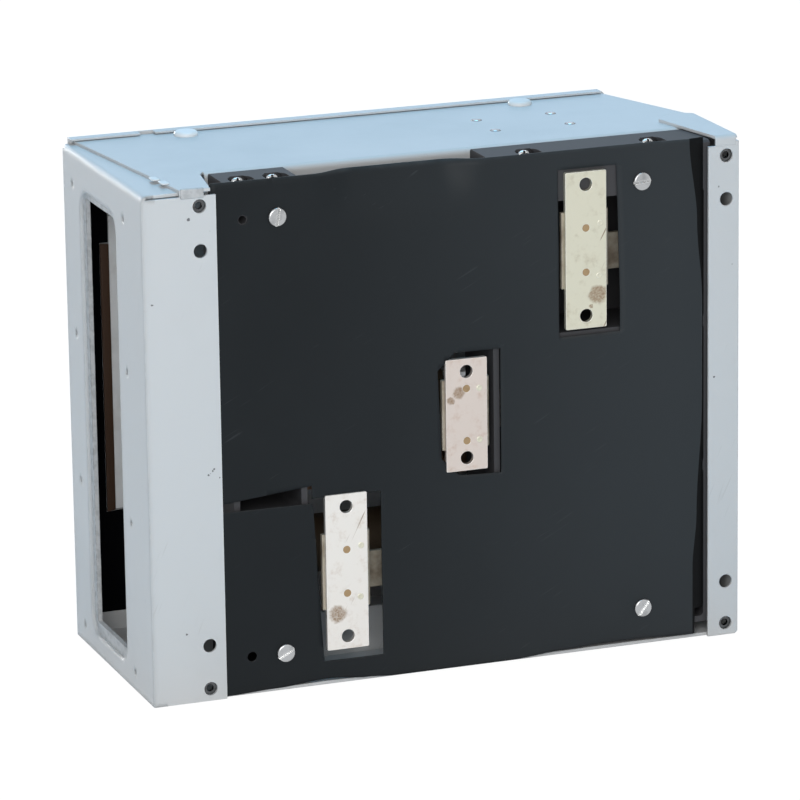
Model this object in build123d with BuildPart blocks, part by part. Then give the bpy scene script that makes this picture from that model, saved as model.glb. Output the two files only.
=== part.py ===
"""Fusible disconnect switch: a three-pole, plug-on unit seen from behind, with its bus straps,
moulded bases, knife blades, fuses and lugs inside a folded sheet-steel case.

Frame: the fuse door and handle face -Y, the bus straps face +Y, the cable window is at +X.
The origin is the middle of the case's underside."""
from build123d import *
import math
import os

os.makedirs("parts", exist_ok=True)

# Case
case_width = 402.0
case_depth = 166.0
case_height = 333.0
sheet = 2.0
bend_radius = 3.0
floor_flange = 12.0
floor_flange_setback = 8.0
flange_drop = 4.5
window_side_flange = 48.5
handle_side_flange = 21.0
front_flange = 16.0
flange_hole = 9.0
flange_hole_end = 8.0
flange_hole_pair = 28.6
window_side_hole_inset = 37.8
handle_side_hole_inset = 8.6

right = case_width / 2
left = -case_width / 2
rear = case_depth / 2
front = -case_depth / 2
top_underside = case_height - sheet
flange_top = case_height - flange_drop
flange_top_hole = case_height - 3.0

# Clinch nuts
nut_rim = 1.2
nut_thread = 4.8
nut_height = 3.0

# Cable window in the end plate
window_y = (front + 35.0, rear - 55.0)
window_width = window_y[1] - window_y[0]
window_height = case_height - 37.0
window_radius = 14.0
window_middle_y = (window_y[0] + window_y[1]) / 2
window_middle_z = case_height / 2 - 5.5
frame_inner_y = (window_middle_y - 17.0, window_middle_y + 33.0)
frame_inner_z = (22.0, case_height - 30.0)
frame_offset = 3.0
frame_rim = 14.0
face_screw_rows = 4
face_screw_pitch_y = window_width + 32.0
face_screw_pitch_z = (window_height + 1.0) / (face_screw_rows - 1)
face_screw_hole = 4.2
face_screw_land = 10.0

# Top panel
roof_bend = 4.0
rear_bend_y = rear - 41.0
rear_skirt = 20.0
ear_inner_x = right - 51.0
ear_outer_x = right - 25.0
ear_notch = 6.0
skirt_gap = 4.0
ear_tab_width = 13.0
panel_edge_front_x = right - 7.0
panel_edge_rear_x = right - 21.0
bevel_width = 29.0
bevel_drop = 26.0
bevel_end_y = front + 83.0
top_flange_width = 33.0

# Tab over the top corner
tab_near = 16.0
tab_far = 29.0
tab_edge = 1.0
tab_front_inset = 12.0
tab_reach = 20.0
tab_slope = 8.0
tab_bend = 3.5

# Front cover and its domed screws
cover_inset = 4.0
lip_rise = 1.8
lip_width = 8.0
lip_thickness = 1.2
lip_notch_x = right - 56.0
lip_notch = 10.0
lip_corner = 3.0
dome_x = (right - 79.0, left + 91.0)
dome_y = front + 14.5
dome_diameter = 16.0
dome_height = 3.0

# Line-side and load-side bases, across the case
line_base_x = (left + 19.0, left + 169.0)
load_base_x = (right - 106.0, right - 57.0)

# Poles, stacked upwards
pole_pitch = 97.0
pole_middle = case_height / 2 - 1.5
pole_heights = [pole_middle - pole_pitch, pole_middle, pole_middle + pole_pitch]

# Bus straps, each with a two-bolt end
bus_pitch = 82.6
line_strap_gap = 19.7
load_strap_gap = 24.7
strap_width = 28.0
strap_thickness = 3.2
strap_end = 8.4
strap_hole = 8.7
strap_corner = 0.8
middle_bus_x = line_base_x[1] + line_strap_gap
bus_x = {"a": load_base_x[0] - load_strap_gap, "b": middle_bus_x, "c": middle_bus_x - bus_pitch}
strap_middle_z = {"a": 74.7, "b": pole_middle + 4.2, "c": case_height - 64.0}
strap_hole_spacing = {"a": 86.0, "b": 57.0, "c": 86.0}
strap_rivet_spacing = {"a": 29.0, "b": 34.5, "c": 29.0}
strap_rear_y = rear
rivet_diameter = 5.0

# Copper pads and brackets in front of the straps
pad_height = {"a": 50.0, "b": 46.0, "c": 50.0}
pad_thickness = 3.2
pad_overhang = 1.5

# Insulating sheet behind the bases
barrier_thickness = 0.8
barrier_rear_y = rear - sheet - 0.4
barrier_left = left + 24.0
barrier_right = right - 45.0
barrier_bottom = (1.0, 3.0)
barrier_notch_z = case_height - 11.0
barrier_top = case_height + 2.0
cut_margin_width = 6.5
cut_margin_height = 3.5
cut_corner = 9.0
slit_z = 128.0
slit_height = 7.0
barrier_screw_x = [right - 89.0, left + 66.6]
barrier_hole_x = right - 66.6
barrier_screw_z = [25.0, case_height - 23.0]
barrier_hole = 6.4

# Moulded bases
base_front_y = rear - 53.0
base_wall = 4.0
base_corner = 4.0
base_rear_y = barrier_rear_y - barrier_thickness
base_foot_z = 10.0
base_shoulder_z = case_height - 27.0
base_head_z = case_height - 0.5
base_edge = 1.5
screw_boss = 14.0
screw_hole = 5.2
screw_depth = 16.0
screw_pocket = 16.0
head_setback = 14.0
head_screw_z = case_height - 7.0
line_screw_x = [line_base_x[1] - 30.6, line_base_x[0] + 34.0]
load_screw_x = [load_base_x[0] + 12.0, load_base_x[1] - 14.0]
rail_height = 30.0
rail_foot = 18.0

# Slotted screws
screw_head = 12.0
screw_head_height = 2.4
base_head_height = 3.5
screw_shank = 4.8
barrier_screw_length = 12.0
slot_width = 1.6
slot_depth = 1.2
barrier_slot_turns = [62.0, 10.0, 38.0, 85.0]

# Run from each bracket to its terminal post
line_post_x = left + 53.0
post_diameter = 14.0
run_front_y = base_front_y + 30.0
run_height = 24.0

# Contacts
terminal_plate = 4.0
terminal_height = 28.0
jaw_leaf = 2.5
jaw_gap = 0.15
jaw_from = 12.0
jaw_to = 6.0
jaw_plate_to = 10.0
leaf_lead = 4.0
leaf_flare = 1.6
hinge_half = 11.0

# Knife blades and crossbar
blade_pivot_x = left + 109.0
blade_pivot_y = base_front_y - 34.0
blade_length = 66.0
blade_width = 20.0
blade_thickness = 4.0
blade_corner = 3.0
blade_pin = 6.0
blade_pin_head = 2.0
pin_clearance = 0.05
throw = 60.0
crossbar_radius = 40.0
crossbar_side = 14.0
crossbar_bottom = 24.0
crossbar_top = case_height - 23.0
crossbar_boss = 12.0
crossbar_boss_grow = (3.0, 10.0)
stop_clearance = 0.4
stop_width = 72.0
stop_leg = 36.0
stop_rear_y = blade_pivot_y + 12.0
roof_rivet = 4.8
rivet_places = [(blade_pivot_x + dx, blade_pivot_y + dy) for dx in (26.0, -26.0) for dy in (-30.0, 4.0)]

# Cranks and link
crank_radius = 18.0
crank_angle = 30.0
crank_plate = 3.0
crank_pin = 5.0
crank_clamp = 11.0
crank_eye = 6.0
link_z = pole_middle + 51.0
link_thickness = 3.0
link_width = 9.0
link_gap = 0.4
crank_x = crank_radius * math.cos(math.radians(crank_angle))
crank_y = crank_radius * math.sin(math.radians(crank_angle))

# Handle
handle_pivot_y = front + 21.0
shaft_diameter = 10.0
shaft_overhang = 4.0
hub_diameter = 18.0
bracket_low = link_z - 20.0
bracket_high = link_z + 20.0
bracket_width = 28.0
bracket_reach = 12.0
bracket_foot = 12.0
bracket_web = 6.0
arm_width = 18.0
arm_thickness = 6.0
arm_reach = 70.0
grip_from = 39.0
grip_to = 84.0
grip_side = 22.0
grip_swell = 6.0
grip_corner = 5.0
grip_edge = 2.5
handle_plane = Plane(origin=(blade_pivot_x, handle_pivot_y, link_z),
                     x_dir=(math.sin(math.radians(-throw / 2)), -math.cos(math.radians(throw / 2)), 0),
                     z_dir=(0, 0, 1))
slot_length = 64.0
slot_height = 30.0
slot_corner = 6.0
bezel_thickness = 3.0
bezel_border = 17.0
bezel_cover = 1.0

# Padlock tab
tab_place = grip_from + 15.0
tab_width = 12.0
tab_play = 0.2
tab_thickness = 2.0
shackle_hole = 7.2
shackle_shift = 5.0

# Fuses and their clips
fuse_seat = 27.0
fuse_barrel = 38.0
fuse_cap = 0.8
fuse_cap_length = 16.0
fuse_blade_width = 28.0
fuse_blade_thickness = 4.8
fuse_blade_length = 35.0
fuse_middle_x = (line_base_x[1] + load_base_x[0]) / 2
fuse_middle_y = base_front_y - 36.0
fuse_overall = load_base_x[0] - line_base_x[1] + 2 * fuse_seat
clip_width = 24.0
clip_play = 0.1
line_clip_x = line_base_x[1] - 26.0
load_clip_x = load_base_x[0] + 2.0
line_plate = (line_clip_x - 2.0, line_base_x[1])
load_plate = (load_base_x[0], load_base_x[1] + 5.0)

# Load lugs
lug_x = load_base_x[1] - 8.0
lug_size = 26.0
lug_bore = 15.0
lug_screw_wall = 4.0
lug_screw = 10.0
lug_screw_play = 0.3
lug_socket = 2.9
lug_middle_y = base_front_y - 18.0

# Fibre barriers and arc chutes
fibre = 2.0
barrier_start_x = line_base_x[1] - 26.0
barrier_front_y = base_front_y - 72.0
barrier_cut = (22.0, 30.0)
chute_outer_x = line_base_x[0] + 8.0
chute_front_y = base_front_y - 64.0
chute_half = 17.0
chute_step = (6.0, 26.0)
splitter = 1.6
splitter_length = 8.0
splitter_places = (6.0, 14.0, 22.0)

# Fuse door
door_opening_x = (blade_pivot_x + 72.0, right - 35.0)
door_opening_z = (28.0, case_height - 31.0)
door_opening_corner = 6.0
door_overlap = 14.0
door_depth = 12.0
door_gap = 1.0
door_corner = 4.0
door_edge = 1.8
door_outer_y = front - sheet - door_gap - door_depth

# Hinges
hinge_pin = 4.0
hinge_knuckle = 8.0
hinge_length = 60.0
hinge_z = [70.0, case_height - 73.0]
hinge_play = 0.2
leaf_thickness = 1.6
leaf_width = 10.5
hinge_axis_x = door_opening_x[1] + door_overlap + hinge_knuckle / 2 + 1.0
hinge_axis_y = front - sheet - hinge_knuckle / 2 - 0.3

# Latch
latch_stud = 6.0
latch_x = door_opening_x[0] - 7.0
latch_z = pole_middle
latch_knob = 16.0
latch_knob_height = 9.0
latch_flutes = 12
latch_flute = 2.8
latch_slot = 2.0
latch_stud_hole_play = 1.5

# Interlock button
button_x = blade_pivot_x
button_z = link_z + 52.0
button_diameter = 10.0
button_clearance = 0.3
button_head = 6.0
button_tail = 10.0
button_collar = 2.0
button_collar_height = 1.6

# Small gaps
seat_gap = 0.3


def save(part, name):
    """Label a finished piece and write it to its own file."""
    part.label = name
    export_step(part, f"parts/{name}.step")


def every_pole(make):
    """The same piece at each pole's height, as separate solids."""
    with BuildPart() as group:
        for height in pole_heights:
            add(make(height))
    return group.part


def top_panel():
    """Roof sheet with its skirt behind, the ear at the window side and the bevelled corner."""
    skirt_from = left + bevel_width / 2
    skirt_to = ear_inner_x - skirt_gap
    bend_y = rear_bend_y - roof_bend
    with BuildPart() as piece:
        with BuildSketch(Plane.XY.offset(top_underside)):
            with BuildLine():
                Polyline(
                    (panel_edge_front_x, front + sheet),
                    (panel_edge_rear_x, rear_bend_y),
                    (ear_outer_x, rear),
                    (ear_inner_x + ear_notch, rear),
                    (ear_inner_x, rear_bend_y + bend_radius),
                    (skirt_to, bend_y),
                    (skirt_from, bend_y),
                    (left + sheet, bevel_end_y),
                    (left + bevel_width, front + sheet),
                    close=True,
                )
            make_face()
            with Locations(*rivet_places):
                Circle(roof_rivet / 2, mode=Mode.SUBTRACT)
        extrude(amount=sheet)
        with BuildSketch(Plane.YZ.offset(skirt_from)):
            with BuildLine():
                FilletPolyline(
                    (bend_y - sheet, case_height - sheet / 2),
                    (rear_bend_y - sheet / 2, case_height - sheet / 2),
                    (rear_bend_y - sheet / 2, top_underside - rear_skirt),
                    radius=roof_bend - sheet / 2,
                )
            trace(line_width=sheet)
        extrude(amount=skirt_to - skirt_from)
        tab_x = ear_outer_x - ear_tab_width / 2
        with BuildSketch(Plane.XY.offset(top_underside)):
            with Locations((tab_x, rear - sheet / 2)):
                Rectangle(ear_tab_width, sheet)
        extrude(amount=sheet - flange_drop)
        with BuildSketch(Plane.XZ.offset(-rear_bend_y)):
            with Locations(*[(x, head_screw_z) for x in line_screw_x + load_screw_x]):
                Circle(screw_hole / 2)
        extrude(amount=sheet, mode=Mode.SUBTRACT)
        add(corner_bevel())
    return piece.part


def corner_bevel():
    """Sloping facet that closes the top corner over the handle side."""
    a = Vector(left + bevel_width, front + sheet, case_height)
    b = Vector(left + sheet, front + sheet, case_height - bevel_drop)
    c = Vector(left + sheet, bevel_end_y, case_height)
    with BuildPart() as piece:
        with BuildSketch(Plane(origin=a, x_dir=b - a, z_dir=(b - a).cross(c - a))) as facet:
            with BuildLine():
                local = Plane(origin=a, x_dir=b - a, z_dir=(b - a).cross(c - a))
                Polyline(*[local.to_local_coords(p) for p in (a, b, c)], close=True)
            make_face()
        down = facet.sketch.face().normal_at()
        extrude(amount=-sheet if down.Z > 0 else sheet)
    return piece.part


def bottom_panel():
    """Floor pan with an upturned front flange and a flange at the handle side."""
    inside = case_width - 2 * sheet
    floor_rear = base_rear_y - seat_gap
    floor_front = front + sheet
    with BuildPart() as piece:
        with BuildSketch():
            with Locations((0, (floor_rear + floor_front) / 2)):
                Rectangle(inside, floor_rear - floor_front)
        extrude(amount=sheet)
        with BuildSketch(Plane.XY.offset(sheet)):
            with Locations((0, floor_front + sheet / 2)):
                Rectangle(inside, sheet)
            with Locations((left + 1.5 * sheet, floor_front)):
                Rectangle(sheet, floor_rear - floor_front - floor_flange_setback,
                          align=(Align.CENTER, Align.MIN))
        extrude(amount=floor_flange)
        fillet(piece.edges().filter_by(Axis.X).group_by(Axis.Z)[0].sort_by(Axis.Y)[0], sheet * 0.9)
    return piece.part


def window_outline(grow):
    """Rounded outline of the cable window, grown or shrunk all round."""
    RectangleRounded(window_width + 2 * grow, window_height + 2 * grow, window_radius + grow)


def window_end_plate():
    """End pan with the cable window, a wide rear flange, a top flange and eight face holes."""
    face_plane = Plane.YZ.offset(right)
    flange_root_x = right - top_flange_width
    with BuildPart() as piece:
        with BuildSketch(Plane.XZ.offset(-rear)):
            with BuildLine():
                FilletPolyline(
                    (right - sheet, 0),
                    (right, 0),
                    (right, top_underside),
                    (flange_root_x, top_underside),
                    (flange_root_x, top_underside - sheet),
                    (right - sheet, top_underside - sheet),
                    close=True,
                    radius=[0, 0, bend_radius, 0, 0, bend_radius - sheet],
                )
            make_face()
        extrude(amount=case_depth)
        with BuildSketch(Plane.XY.offset(top_underside)):
            with BuildLine():
                Polyline(
                    (right - bend_radius, rear),
                    (right - bend_radius, rear - sheet),
                    (flange_root_x, rear - 2 * sheet),
                    (panel_edge_front_x - bend_radius, front + sheet),
                    (panel_edge_front_x - bend_radius, front),
                    (flange_root_x, front),
                    (flange_root_x - sheet, rear),
                    close=True,
                )
            make_face()
        extrude(amount=-sheet, mode=Mode.SUBTRACT)
        with BuildSketch(Plane.XZ.offset(-rear)):
            with Locations((right - window_side_flange / 2, flange_top / 2)):
                Rectangle(window_side_flange, flange_top)
            mirrored = [flange_hole_end, flange_hole_end + flange_hole_pair]
            heights = mirrored + [flange_top_hole - h for h in mirrored]
            with Locations(*[(right - window_side_hole_inset, h) for h in heights]):
                Circle(flange_hole / 2, mode=Mode.SUBTRACT)
        extrude(amount=sheet)
        with BuildSketch(Plane.XZ.offset(-front)):
            with Locations((right - front_flange / 2, top_underside / 2)):
                Rectangle(front_flange, top_underside - 2 * sheet)
        extrude(amount=-sheet)
        with BuildSketch(face_plane):
            with Locations((window_middle_y, window_middle_z)):
                window_outline(0)
            with Locations((window_middle_y, window_middle_z)):
                with GridLocations(face_screw_pitch_y, face_screw_pitch_z, 2, face_screw_rows):
                    Circle(face_screw_hole / 2)
        extrude(amount=-sheet, mode=Mode.SUBTRACT)
    return piece.part


def window_frame():
    """Inner frame screwed behind the cable window, a border narrower than the opening."""
    outside_x = right - sheet
    with BuildPart() as piece:
        with BuildSketch(Plane.YZ.offset(outside_x)):
            with Locations((window_middle_y, window_middle_z)):
                Rectangle(face_screw_pitch_y + face_screw_land, window_height + frame_rim)
            with Locations((sum(frame_inner_y) / 2, sum(frame_inner_z) / 2)):
                Rectangle(frame_inner_y[1] - frame_inner_y[0], frame_inner_z[1] - frame_inner_z[0],
                          mode=Mode.SUBTRACT)
        extrude(amount=-frame_offset)
        with BuildSketch(Plane.YZ.offset(outside_x)):
            with Locations((window_middle_y, window_middle_z)):
                with GridLocations(face_screw_pitch_y, face_screw_pitch_z, 2, face_screw_rows):
                    Circle(face_screw_hole / 2)
        extrude(amount=-frame_offset, mode=Mode.SUBTRACT)
    return piece.part


def handle_end_plate():
    """End plate at the handle side with its rear flange, its bevelled corner and top tab."""
    with BuildPart() as piece:
        with BuildSketch(Plane.YZ.offset(left)):
            with BuildLine():
                Polyline(
                    (front, 0),
                    (rear, 0),
                    (rear, top_underside),
                    (bevel_end_y, top_underside),
                    (front, top_underside - bevel_drop),
                    close=True,
                )
            make_face()
        extrude(amount=sheet)
        with BuildSketch(Plane.XZ.offset(-rear)):
            with Locations((left + handle_side_flange / 2, flange_top / 2)):
                Rectangle(handle_side_flange, flange_top)
            mirrored = [flange_hole_end, flange_hole_end + flange_hole_pair]
            heights = mirrored + [flange_top_hole - h for h in mirrored]
            with Locations(*[(left + handle_side_hole_inset, h) for h in heights]):
                Circle(flange_hole / 2, mode=Mode.SUBTRACT)
        extrude(amount=sheet)
        corner = piece.edges().filter_by(Axis.Y).group_by(Axis.Z)[0].sort_by(Axis.X)[0]
        chamfer(corner, sheet * 0.9)
    return piece.part


def top_corner_tab():
    """Bent tab that laps the roof at the handle side and turns down behind."""
    near_x = left + tab_near
    with BuildPart() as piece:
        with BuildSketch(Plane.XY.offset(case_height)):
            with BuildLine():
                Polyline(
                    (left + tab_edge, rear),
                    (near_x, rear),
                    (near_x, rear - sheet),
                    (left + tab_far, bevel_end_y + tab_reach),
                    (left + tab_front_inset, bevel_end_y + tab_slope / 2),
                    (left + tab_edge, bevel_end_y + tab_front_inset),
                    close=True,
                )
            make_face()
        extrude(amount=sheet)
        with BuildSketch(Plane.XZ.offset(-rear)):
            with Locations(((left + sheet + near_x) / 2, case_height - flange_drop / 2)):
                Rectangle(near_x - left - sheet, flange_drop)
        extrude(amount=sheet)
        bend = piece.edges().filter_by(Axis.X).sort_by_distance((near_x, rear, case_height + sheet))[0]
        fillet(bend, tab_bend)
    return piece.part


def front_cover():
    """Front sheet with the raised top lip, the fuse door opening and the handle slot."""
    with BuildPart() as piece:
        with BuildSketch(Plane.XZ.offset(-front)):
            with BuildLine():
                Polyline(
                    (right - cover_inset, 0),
                    (right - cover_inset, case_height + lip_rise),
                    (left + bevel_width, case_height + lip_rise),
                    (left + bevel_width - lip_corner, case_height),
                    (left, case_height - bevel_drop - sheet),
                    (left, 0),
                    close=True,
                )
            make_face()
            door_w = door_opening_x[1] - door_opening_x[0]
            door_h = door_opening_z[1] - door_opening_z[0]
            with Locations((sum(door_opening_x) / 2, sum(door_opening_z) / 2)):
                RectangleRounded(door_w, door_h, door_opening_corner, mode=Mode.SUBTRACT)
            with Locations((blade_pivot_x, link_z)):
                RectangleRounded(slot_length, slot_height, slot_corner, mode=Mode.SUBTRACT)
            with Locations((latch_x, latch_z)):
                Circle(latch_stud / 2 + latch_stud_hole_play, mode=Mode.SUBTRACT)
            with Locations((button_x, button_z)):
                Circle(button_diameter / 2 + button_clearance, mode=Mode.SUBTRACT)
        extrude(amount=sheet)
        with BuildSketch(Plane.XY.offset(case_height + lip_rise)):
            with Locations(((right - cover_inset + left + bevel_width) / 2, front + sheet)):
                Rectangle(case_width - cover_inset - bevel_width, lip_width)
            with Locations((lip_notch_x, front + sheet)):
                Rectangle(lip_notch, lip_width, mode=Mode.SUBTRACT)
        extrude(amount=-lip_thickness)
    return piece.part


def moulded_base(x_from, x_to, line_side, boss_x, screw_x):
    """Tray-shaped moulding, open behind, with ribs, bosses and pockets for its own screws."""
    middle = (x_from + x_to) / 2
    width = x_to - x_from
    depth = base_rear_y - base_front_y
    head_depth = base_rear_y - rear_bend_y
    with BuildPart() as piece:
        with BuildSketch(Plane.XZ.offset(-base_front_y)):
            with Locations((middle, (base_foot_z + base_shoulder_z) / 2)):
                RectangleRounded(width, base_shoulder_z - base_foot_z, base_corner)
        extrude(amount=-depth)
        with BuildSketch(Plane.XZ.offset(-rear_bend_y)):
            with Locations((middle, base_head_z)):
                Rectangle(width, base_head_z - base_shoulder_z + 2 * base_corner,
                          align=(Align.CENTER, Align.MAX))
        extrude(amount=-head_depth)
        chamfer(piece.edges().filter_by(Axis.X).group_by(Axis.Z)[-1], base_edge)
        cell_edges = [base_foot_z + base_wall]
        for low, high in zip(pole_heights, pole_heights[1:]):
            cell_edges += [(low + high - base_wall) / 2, (low + high + base_wall) / 2]
        cell_edges.append(base_shoulder_z - base_wall)
        with BuildSketch(Plane.XZ.offset(-base_rear_y)):
            for low, high in zip(cell_edges[::2], cell_edges[1::2]):
                with Locations((middle, (low + high) / 2)):
                    RectangleRounded(width - 2 * base_wall, high - low, bend_radius)
        extrude(amount=depth - base_wall, mode=Mode.SUBTRACT)
        pocket_y = rear_bend_y + head_setback
        with BuildSketch(Plane.XY.offset(base_head_z)):
            with Locations(*[(x, base_rear_y) for x in screw_x]):
                Circle(screw_pocket / 2)
                Rectangle(screw_pocket, 2 * (base_rear_y - pocket_y - screw_pocket / 2))
            with Locations(*[(x, pocket_y + screw_pocket / 2) for x in screw_x]):
                Circle(screw_pocket / 2)
        extrude(amount=head_screw_z - base_head_z - screw_pocket / 2, mode=Mode.SUBTRACT)
        with BuildSketch(Plane.XZ.offset(-base_rear_y)):
            with Locations(*[(x, head_screw_z) for x in screw_x]):
                Circle(screw_pocket / 2)
        extrude(amount=base_rear_y - pocket_y, mode=Mode.SUBTRACT)
        with BuildSketch(Plane.XZ.offset(-base_rear_y)):
            with Locations(*[(boss_x, z) for z in barrier_screw_z if z < base_shoulder_z]):
                Circle(screw_boss / 2)
        extrude(amount=depth - base_wall)
        with BuildSketch(Plane.XZ.offset(-rear_bend_y)):
            with Locations(*[(x, head_screw_z) for x in screw_x]):
                Circle(screw_hole / 2)
        extrude(amount=-head_depth, mode=Mode.SUBTRACT)
        with BuildSketch(Plane.XZ.offset(-base_rear_y)):
            with Locations(*[(boss_x, z) for z in barrier_screw_z]):
                Circle(screw_hole / 2)
            if not line_side:
                with Locations((barrier_hole_x, barrier_screw_z[-1])):
                    Circle(screw_hole / 2)
        extrude(amount=screw_depth, mode=Mode.SUBTRACT)
        if line_side:
            with BuildSketch(Plane.XZ.offset(-base_front_y)):
                with Locations(*[(line_post_x, z) for z in pole_heights]):
                    Circle(post_diameter / 2 + seat_gap)
            extrude(amount=-base_wall, mode=Mode.SUBTRACT)
            with BuildSketch(Plane.YZ.offset(x_to)):
                with Locations(*[(run_front_y + pad_thickness / 2, z) for z in pole_heights[:2]]):
                    Rectangle(pad_thickness + 2 * seat_gap, run_height + 2 * seat_gap)
            extrude(amount=-base_wall, mode=Mode.SUBTRACT)
    return piece.part


def lower_rail():
    """Angle across the floor that carries the feet of both mouldings."""
    with BuildPart() as piece:
        with BuildSketch(Plane.YZ.offset(left + 2 * sheet)):
            with BuildLine():
                Polyline(
                    (base_front_y, sheet),
                    (base_front_y, sheet + rail_height),
                    (base_front_y - sheet, sheet + rail_height),
                    (base_front_y - sheet, 2 * sheet),
                    (base_front_y - rail_foot, 2 * sheet),
                    (base_front_y - rail_foot, sheet),
                    close=True,
                )
            make_face()
        extrude(amount=case_width - 3 * sheet - frame_offset - seat_gap)
    return piece.part


def bus_strap(pole):
    """Plated strap with a bolt hole near each end."""
    length = strap_hole_spacing[pole] + 2 * strap_end
    with BuildPart() as piece:
        with BuildSketch(Plane.XZ.offset(-strap_rear_y)):
            with Locations((bus_x[pole], strap_middle_z[pole])):
                Rectangle(strap_width, length)
                with GridLocations(1, strap_hole_spacing[pole], 1, 2):
                    Circle(strap_hole / 2, mode=Mode.SUBTRACT)
                with GridLocations(1, strap_rivet_spacing[pole], 1, 2):
                    Circle(rivet_diameter / 2, mode=Mode.SUBTRACT)
        extrude(amount=strap_thickness)
        fillet(piece.edges().filter_by(Axis.Y).group_by(Axis.X)[0], strap_corner)
        fillet(piece.edges().filter_by(Axis.Y).group_by(Axis.X)[-1], strap_corner)
    return piece.part


def strap_rivets():
    """Two flush rivets through each strap and the pad in front of it."""
    length = strap_thickness + pad_thickness
    with BuildPart() as piece:
        with BuildSketch(Plane.XZ.offset(-strap_rear_y)):
            for pole in bus_x:
                with Locations((bus_x[pole], strap_middle_z[pole])):
                    with GridLocations(1, strap_rivet_spacing[pole], 1, 2):
                        Circle(rivet_diameter / 2)
        extrude(amount=length)
    return piece.part


def line_bracket(pole, height):
    """Copper bar: pad behind the strap, web turned inwards, run to the terminal and its post."""
    pad_rear = strap_rear_y - strap_thickness
    pad_x = bus_x[pole]
    web_x = pad_x - strap_width / 2 - pad_thickness
    pad_span = pad_height[pole]
    with BuildPart() as piece:
        with BuildSketch(Plane.XY.offset(strap_middle_z[pole] - pad_span / 2)):
            with BuildLine():
                Polyline(
                    (pad_x + strap_width / 2 + pad_overhang, pad_rear),
                    (web_x, pad_rear),
                    (web_x, run_front_y),
                    (web_x + pad_thickness, run_front_y),
                    (web_x + pad_thickness, pad_rear - pad_thickness),
                    (pad_x + strap_width / 2 + pad_overhang, pad_rear - pad_thickness),
                    close=True,
                )
            make_face()
        extrude(amount=pad_span)
        bend = piece.edges().filter_by(Axis.Z).sort_by_distance((web_x, pad_rear, 0))[0]
        fillet(bend, pad_thickness * 0.8)
        with BuildSketch(Plane.XZ.offset(-run_front_y)):
            with Locations(((web_x + line_post_x - post_diameter / 2) / 2, height)):
                Rectangle(web_x - line_post_x + post_diameter / 2, run_height)
        extrude(amount=-pad_thickness)
        with BuildSketch(Plane.XZ.offset(-run_front_y)):
            with Locations((line_post_x, height)):
                Circle(post_diameter / 2)
        extrude(amount=run_front_y - base_front_y)
        with BuildSketch(Plane.XZ.offset(-pad_rear)):
            with Locations((pad_x, strap_middle_z[pole])):
                with GridLocations(1, strap_rivet_spacing[pole], 1, 2):
                    Circle(rivet_diameter / 2)
        extrude(amount=pad_thickness, mode=Mode.SUBTRACT)
    return piece.part


def leaf_pair(x_from, x_to, height, gap_width, tip_y, plate_x):
    """U-shaped contact: a plate on the moulding and two leaves that grip a blade."""
    face_y = base_front_y - terminal_plate
    with BuildPart() as piece:
        with BuildSketch(Plane.XZ.offset(-base_front_y)):
            with Locations(((plate_x[0] + plate_x[1]) / 2, height)):
                RectangleRounded(plate_x[1] - plate_x[0], terminal_height, sheet)
        extrude(amount=terminal_plate)
        with BuildSketch(Plane.YZ.offset(x_from)):
            for side in (-1, 1):
                inner = side * gap_width / 2
                with BuildLine():
                    Polyline(
                        (face_y, height + inner),
                        (tip_y + leaf_lead, height + inner),
                        (tip_y, height + inner + side * leaf_flare),
                        (tip_y, height + inner + side * (leaf_flare + jaw_leaf)),
                        (tip_y + leaf_lead, height + inner + side * jaw_leaf),
                        (face_y, height + inner + side * jaw_leaf),
                        close=True,
                    )
                make_face()
        extrude(amount=x_to - x_from)
    return piece.part


def line_jaw(height):
    """Stationary jaw that the knife blade closes into."""
    gap = blade_thickness + 2 * jaw_gap
    start = line_post_x - jaw_from
    return leaf_pair(start, line_post_x + jaw_to, height, gap, blade_pivot_y - blade_width / 2,
                     (start, line_post_x + jaw_plate_to))


def blade_hinge(height):
    """Hinge jaw for the knife blade, on the copper plate that leads to the fuse clip."""
    gap = blade_thickness + 2 * jaw_gap
    plate = (blade_pivot_x - hinge_half, line_plate[0])
    with BuildPart() as piece:
        add(leaf_pair(blade_pivot_x - hinge_half, blade_pivot_x + hinge_half, height, gap,
                      blade_pivot_y - hinge_half, plate))
        with BuildSketch(Plane.XY.offset(height - terminal_height / 2)):
            with Locations((blade_pivot_x, blade_pivot_y)):
                Circle(blade_pin / 2 + pin_clearance)
        extrude(amount=terminal_height, mode=Mode.SUBTRACT)
    return piece.part


def fuse_clip(x_from, height, plate):
    """Spring clip for one blade of a fuse."""
    return leaf_pair(x_from, x_from + clip_width, height, fuse_blade_thickness + clip_play,
                     fuse_middle_y - clip_width / 2, plate)


def fuse(height):
    """Cartridge fuse with ferrule caps and knife blades."""
    body = fuse_overall - 2 * fuse_blade_length
    with BuildPart() as piece:
        with BuildSketch(Plane.YZ.offset(fuse_middle_x - body / 2)):
            with Locations((fuse_middle_y, height)):
                Circle(fuse_barrel / 2)
        extrude(amount=body)
        cap_shift = (body - fuse_cap_length) / 2
        for side in (-1, 1):
            with BuildSketch(Plane.YZ.offset(fuse_middle_x + side * cap_shift - fuse_cap_length / 2)):
                with Locations((fuse_middle_y, height)):
                    Circle(fuse_barrel / 2 + fuse_cap)
            extrude(amount=fuse_cap_length)
        fillet(piece.edges().filter_by(GeomType.CIRCLE).group_by(Axis.X)[0], fuse_cap * 0.9)
        fillet(piece.edges().filter_by(GeomType.CIRCLE).group_by(Axis.X)[-1], fuse_cap * 0.9)
        with BuildSketch(Plane.XY.offset(height - fuse_blade_thickness / 2)):
            with Locations((fuse_middle_x, fuse_middle_y)):
                RectangleRounded(fuse_overall, fuse_blade_width, blade_corner)
        extrude(amount=fuse_blade_thickness)
    return piece.part


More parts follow.
